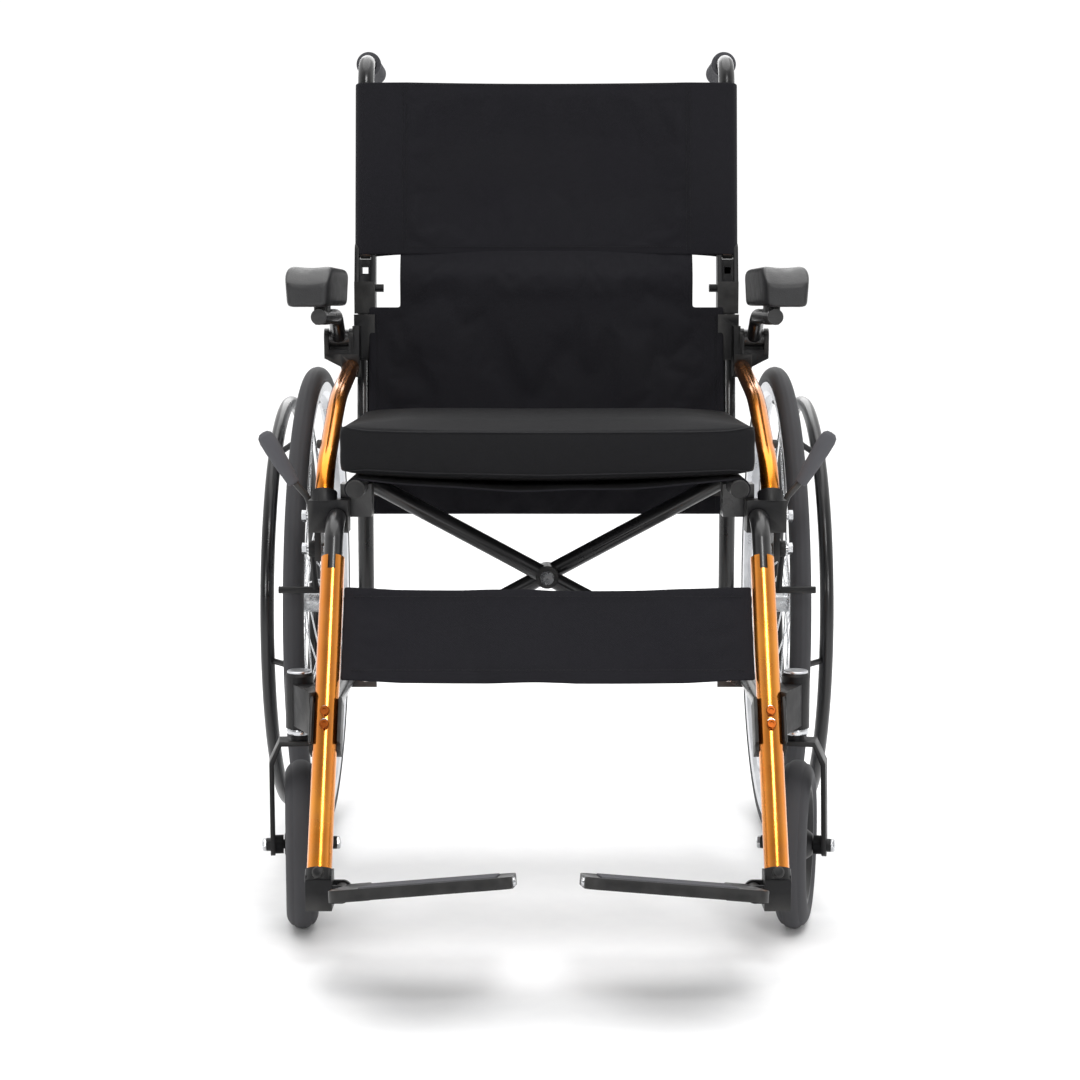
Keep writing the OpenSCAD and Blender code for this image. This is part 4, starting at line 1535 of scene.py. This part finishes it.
@dataclass
class BackUpholstery:
    """The two nylon back panels: the upper sleeved on the canes, the lower laced to the uprights."""

    seam_x: float = 0.176
    sleeve_radius: float = 0.0124
    face: float = 0.0135
    sag: float = 0.0040
    thickness: float = 0.0016

    def build(self) -> None:
        """Make both panels with their stitching."""
        self._upper()
        self._lower()

    def _fold(self, piece: bpy.types.Object, body: str) -> None:
        """Carry a piece on a body, with a mesh of its own."""
        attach(piece, body)
        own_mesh(piece)

    @staticmethod
    def _on_back(x: float, out: float, up: float) -> Vector:
        """A point of the leaning back.

        Args:
            x: how far across it is.
            out: how far in front of the cane line it is.
            up: how far up it is from the folding pin.

        Returns:
            The point.
        """
        lean = math.sin(BACK_LEAN), math.cos(BACK_LEAN)
        pin_y = AXLE_Y + (BACK_PIN_Z - BACK_BEND_Z) * math.tan(BACK_LEAN)
        return Vector((x, pin_y + up * lean[0] - out * lean[1], BACK_PIN_Z + up * lean[1] + out * lean[0]))

    def _upper_section(self) -> list[tuple[float, float]]:
        """Half of the upper panel's section, as (across, out), from the sewn-back hem to the middle.

        Returns:
            The points of the section, in order.
        """
        line = []
        for step in range(8):
            line.append((self.seam_x + (FRAME_X - self.seam_x) * step / 8,
                         self.face - 0.0026 - (self.face - 0.0026 + self.sleeve_radius) * (step / 8) ** 1.5))
        for step in range(13):
            angle = math.radians(-90 + step * 15)
            line.append((FRAME_X + self.sleeve_radius * math.cos(angle),
                         self.sleeve_radius * math.sin(angle)))
        for step in range(1, 9):
            share = step / 8
            line.append((FRAME_X - (FRAME_X - self.seam_x) * share,
                         self.sleeve_radius + (self.face - self.sleeve_radius) * share))
        for step in range(1, 33):
            share = step / 32
            x = self.seam_x * (1 - share)
            line.append((x, self.face - self.sag * (1 - (x / self.seam_x) ** 2)))
        return line

    def _upper(self) -> None:
        """The upper panel."""
        _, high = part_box("back_upper_panel")
        half = self._upper_section()
        section = half + [(-x, out) for x, out in reversed(half[:-1])]
        last = len(section) - 1
        foot = -0.005
        height = (high[2] - 0.004 - BACK_PIN_Z) / math.cos(BACK_LEAN) - foot

        def place(across: float, along: float) -> Vector:
            """The panel's point at these shares.

            Args:
                across: the share across, from 0 to 1.
                along: the share of the height, from 0 to 1.

            Returns:
                The point.
            """
            x, out = section[round(across * last)]
            free = max(0.0, 1 - (abs(x) / self.seam_x) ** 2)
            wander = 0.0009 * noise.noise(Vector((x * 11, along * 2.4, 1.7))) * free
            edge = 0.0016 * free * (along - 0.5)
            return self._on_back(x, out + wander, foot + height * along - edge)

        panel = sheet_grid("upper_back", last, 56, place)

        def held(point: Vector) -> float:
            """How firmly the panel is held: at its sleeves and hems.

            Args:
                point: a point of the panel.

            Returns:
                1 where it is held fast, 0 where it is free.
            """
            between = BACK_PIN_Z + 0.010 < point.z < high[2] - 0.022
            return 0.0 if between and abs(point.x) < self.seam_x - 0.004 else 1.0

        Cloth(slack=0.010, pressure=0.8, cap=0.009, bending=0.9).drape(panel, held)
        self._finish_sheet(panel, "left_back", "back_upper_panel",
                           self._upper_stitches(foot, height))

    def _upper_stitches(self, foot: float, height: float) -> list[bpy.types.Object]:
        """The sleeve seams and the top and bottom hems.

        Args:
            foot: where the panel starts above the folding pin.
            height: the panel's height.

        Returns:
            The stitching, as a list of one mesh.
        """
        out = self.face + 0.0010
        rows = []
        away = Vector((0, -math.cos(BACK_LEAN), math.sin(BACK_LEAN)))
        for label, x in (("left", self.seam_x), ("right", -self.seam_x)):
            for index, shift in enumerate((0.0, 0.0045)):
                spot = x + math.copysign(shift, x)
                rows.append(stitches(
                    f"upper_{label}_seam_{index}",
                    lambda s, spot=spot: self._on_back(spot, out, foot + height * (0.02 + 0.96 * s)),
                    height * 0.96, away))
        reach = 0.170

        def hem_point(share: float, up: float) -> Vector:
            """The point of a hem at this share of its length, at a height up the back.

            Args:
                share: the share of the hem's length, from 0 to 1.
                up: how far up the back it is.

            Returns:
                The point.
            """
            x = (2 * share - 1) * reach
            return self._on_back(x, out - self.sag * (1 - (x / self.seam_x) ** 2), up)

        for label, up in (("top", height - 0.008), ("bottom", foot + 0.010)):
            rows.append(stitches(f"upper_{label}_hem", lambda s, up=up: hem_point(s, up), 2 * reach, away))
        return [join("upper_back_stitching", rows)]

    def _finish_sheet(self, panel: bpy.types.Object, body: str, node: str,
                      trims: list[bpy.types.Object]) -> None:
        """Thicken a draped panel, dress it and mount it with its trims.

        Args:
            panel: the draped sheet.
            body: the CAD body that it rides on.
            node: the CAD node that it replaces.
            trims: its stitching.
        """
        modify(panel, "SOLIDIFY", thickness=self.thickness, offset=0)
        tidy_mesh(panel, 1e-6)
        modify(panel, "SUBSURF", levels=1, render_levels=1)
        smooth(panel, Shading.SOFT)
        NYLON.dress(panel)
        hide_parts(node)
        self._fold(panel, body)
        for trim in trims:
            THREAD.dress(trim)
            self._fold(trim, body)

    def _lower_point(self, x: float, z: float, out: float = 0.0) -> Vector:
        """A point of the lower panel.

        Args:
            x: how far across it is.
            z: its height above the floor.
            out: how far in front of the panel's middle plane it is.

        Returns:
            The point.
        """
        rise = max(0.0, z - BACK_BEND_Z)
        return Vector((x, AXLE_Y + rise * math.tan(BACK_LEAN) - 0.0150 - out, z))

    def _lower(self) -> None:
        """The lower panel, cut away beside the canes below the folding line."""
        low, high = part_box("back_lower_panel")
        step_z, narrow = 0.664, 0.184
        wide = high[0] + 0.0090
        top = high[2] - 0.001
        height = top - low[2]

        def place(across: float, along: float) -> Vector:
            """The panel's point at these shares.

            Args:
                across: the share across, from 0 to 1.
                along: the share of the height, from 0 to 1.

            Returns:
                The point.
            """
            z = low[2] + height * along
            x = (2 * across - 1) * wide
            free = 1 - (x / wide) ** 2
            puff = 0.009 * math.exp(-((z - 0.700) / 0.020) ** 2) * max(0.0, free) ** 0.5
            tuck = -0.0055 * math.exp(-((z - top) / 0.009) ** 2)
            hollow = -0.0045 * math.exp(-((z - 0.55) / 0.08) ** 2) * free
            wander = 0.0016 * noise.noise(Vector((x * 9 + z * 5, z * 7, 4.2))) * free
            return self._lower_point(x, z, puff + hollow + tuck + wander)

        panel = sheet_grid("lower_back", 92, 70, place)

        def held(point: Vector) -> float:
            """How firmly the panel is held: at its laced sides, its hems and the windows.

            Args:
                point: a point of the panel.

            Returns:
                1 where it is held fast, 0 where it is free.
            """
            hemmed = point.z > top - 0.006 or point.z < low[2] + 0.004
            beside = point.z > step_z - 0.01 and abs(point.x) > narrow - 0.012
            return 1.0 if abs(point.x) > 0.196 or hemmed or beside else 0.0

        Cloth(slack=0.016, pressure=1.2, cap=0.010, bending=0.7).drape(panel, held)
        pick_faces(panel, lambda face: face.center.z > step_z and abs(face.center.x) > narrow)
        with edit_mode(panel):
            bpy.ops.mesh.delete(type="FACE")
        self._finish_sheet(panel, "left_frame", "back_lower_panel",
                           self._lower_stitches(wide, low[2], step_z))
        LOG.info("lower back panel made, %.3f m by %.3f m flat", 2 * wide, height)

    def _lower_stitches(self, wide: float, bottom: float, step_z: float) -> list[bpy.types.Object]:
        """The side hems and the bottom hem.

        Args:
            wide: half the panel's width.
            bottom: the height of its bottom edge.
            step_z: the height where its windows start.

        Returns:
            The stitching, as a list of one mesh.
        """
        away = Vector((0, -1, 0))
        out = self.thickness / 2 + 0.0004
        run = step_z - bottom - 0.016
        reach = wide - 0.012
        rows = []
        for label, sign in (("left", 1), ("right", -1)):
            side = sign * (wide - 0.010)
            rows.append(stitches(f"lower_{label}_hem",
                                 lambda s, side=side: self._lower_point(side, bottom + 0.008 + run * s, out),
                                 run, away))
        rows.append(stitches("lower_bottom_hem",
                             lambda s: self._lower_point((2 * s - 1) * reach, bottom + 0.003, out + 0.0004),
                             2 * reach, away))
        return [join("lower_back_stitching", rows)]


@dataclass
class CalfStrap:
    """The nylon panel between the leg tubes, hemmed along its top and bottom."""

    top_z: float = 0.371
    bottom_z: float = 0.281
    thickness: float = 0.0016
    hem: float = 0.011

    def build(self) -> None:
        """Make the panel and its stitching."""
        _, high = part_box("calf_panel")
        wide = high[0] - 0.0003
        drop = (self.top_z - self.bottom_z) / math.cos(LEG_SLOPE)

        def place(across: float, along: float) -> Vector:
            """The panel's point at these shares.

            Args:
                across: the share across, from 0 to 1.
                along: the share down the leg, from 0 to 1.

            Returns:
                The point.
            """
            x = (2 * across - 1) * wide
            free = 1 - (x / wide) ** 2
            hem = 0.0007 if min(along, 1 - along) * drop < self.hem else 0.0
            wander = 0.0014 * noise.noise(Vector((x * 8, along * 1.5, 8.8))) * free
            return self._point(x, along * drop, 0.0006 + hem + wander - 0.0012 * free, free * 0.0016)

        panel = sheet_grid("calf_panel_cloth", 96, 28, place)
        Cloth(slack=0.006, pressure=0.5, cap=0.005, bending=0.9).drape(
            panel, lambda p: 1.0 if abs(p.x) > 0.200 else 0.0)
        modify(panel, "SOLIDIFY", thickness=self.thickness, offset=0)
        tidy_mesh(panel, 1e-6)
        modify(panel, "SUBSURF", levels=1, render_levels=1)
        smooth(panel, Shading.SOFT)
        NYLON.dress(panel)
        away = self._point(0, 0, 1, 0) - self._point(0, 0, 0, 0)
        reach = wide - 0.010
        rows = [stitches(f"calf_hem_{index}",
                         lambda s, at=at: self._point((2 * s - 1) * reach, at, 0.0022, 0.0),
                         2 * reach, away) for index, at in enumerate((self.hem, drop - self.hem))]
        sewing = join("calf_panel_stitching", rows)
        THREAD.dress(sewing)
        for piece, finish in ((panel, NYLON), (sewing, THREAD)):
            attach(piece, "left_frame")
            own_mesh(piece)
        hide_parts("calf_panel")
        LOG.info("calf panel made, %.3f m by %.3f m flat", 2 * wide, drop)

    def _point(self, x: float, down: float, out: float, sag: float) -> Vector:
        """A point of the panel.

        Args:
            x: how far across it is.
            down: how far down the leg it is.
            out: how far in front of the leg tubes' middle plane it is.
            sag: how far it sags.

        Returns:
            The point.
        """
        start = LEG_TOP + Vector((0, -math.sin(LEG_SLOPE), -math.cos(LEG_SLOPE))) * (
            (LEG_TOP.z - self.top_z) / math.cos(LEG_SLOPE) + down)
        front = Vector((0, -math.cos(LEG_SLOPE), math.sin(LEG_SLOPE)))
        return Vector((x, start.y, start.z - sag)) + front * out


# ------------------------------------------------------------------ stage


@dataclass
class Studio:
    """A plain pale floor under soft lights, with the camera straight ahead of the chair."""

    camera_place: Point = (-0.008, -2.360, 0.663)
    pitch: float = math.radians(6.44)
    lens: float = 68.5
    floor_size: float = 80.0
    front_level: float = 0.16
    sky_power: float = 1.7
    rear_level: float = 1.06

    def build(self) -> None:
        """Set up the floor, the lights and the camera."""
        self._floor()
        self._world()
        for name, place, aim, size, power in (
                ("front_high", (0.35, -2.3, 2.7), (0, 0, 0.4), 0.8, 30),
                ("front_left", (1.5, -2.9, 1.2), (0, 0, 0.5), 0.5, 14),
                ("front_right", (-1.5, -2.9, 1.2), (0, 0, 0.5), 0.5, 14),
                ("rear", (0.0, 2.8, 2.2), (0, 0, 0.5), 2.2, 30)):
            self._light(name, place, aim, size, power)
        self._sky()
        self._camera()
        LOG.info("studio ready")

    def _floor(self) -> None:
        """The floor."""
        deselect_all()
        bpy.ops.mesh.primitive_plane_add(size=self.floor_size, location=(0, 0, 0))
        floor = bpy.context.object
        floor.name = "floor"
        FLOOR.dress(floor)

    def _world(self) -> None:
        """A white surround that fades to grey on the camera's side."""
        world = bpy.data.worlds.new("studio")
        bpy.context.scene.world = world
        world.use_nodes = True
        graph = Graph(world.node_tree)
        way = graph.node("SeparateXYZ", {0: graph.node("TexCoord").outputs["Generated"]})
        level = graph.node("MapRange", {"Value": way.outputs["Y"], "From Min": -0.7, "From Max": 0.1,
                                        "To Min": self.front_level, "To Max": self.rear_level})
        light = graph.node("Background", {"Color": (1.0, 1.0, 1.0, 1.0), "Strength": level.outputs[0]})
        out = graph.node("OutputWorld")
        graph.tree.links.new(light.outputs[0], out.inputs["Surface"])
        bpy.context.scene.view_settings.view_transform = "Standard"

    def _sky(self) -> None:
        """A very wide, even light from above, so that the floor stays pale right to its edge."""
        lamp = bpy.data.lights.new("sky", "SUN")
        lamp.energy = self.sky_power
        lamp.angle = math.radians(70)
        obj = bpy.data.objects.new("sky", lamp)
        obj.rotation_euler = (math.radians(-8), 0, 0)
        bpy.context.scene.collection.objects.link(obj)

    def _light(self, name: str, place: Point, aim: Point, size: float, power: float) -> None:
        """Hang a square soft light.

        Args:
            name: the light's name.
            place: where it hangs.
            aim: the point that it faces.
            size: the length of its side.
            power: its power in watts.
        """
        lamp = bpy.data.lights.new(name, "AREA")
        lamp.size = size
        lamp.energy = power
        obj = bpy.data.objects.new(name, lamp)
        obj.location = place
        obj.rotation_euler = (Vector(aim) - Vector(place)).to_track_quat("-Z", "Y").to_euler()
        bpy.context.scene.collection.objects.link(obj)

    def _camera(self) -> None:
        """The camera, level with the armrests and tipped slightly down."""
        data = bpy.data.cameras.new("camera")
        data.lens = self.lens
        data.sensor_width = 36.0
        data.clip_end = 50.0
        obj = bpy.data.objects.new("camera", data)
        obj.location = self.camera_place
        obj.rotation_euler = (math.pi / 2 - self.pitch, 0, 0)
        bpy.context.scene.collection.objects.link(obj)
        bpy.context.scene.camera = obj


def main() -> None:
    """Build every sub-assembly in order."""
    logging.basicConfig(level=logging.INFO, format="%(name)s: %(message)s")
    for assembly in (Studio(), SideFrames(), ScissorBrace(), BackCanes(), Armrests(), Brakes(), Footplates(),
                     Casters(), RearWheels(), Seat(), BackUpholstery(), CalfStrap()):
        assembly.build()
    deselect_all()


if __name__ == "__main__":
    main()
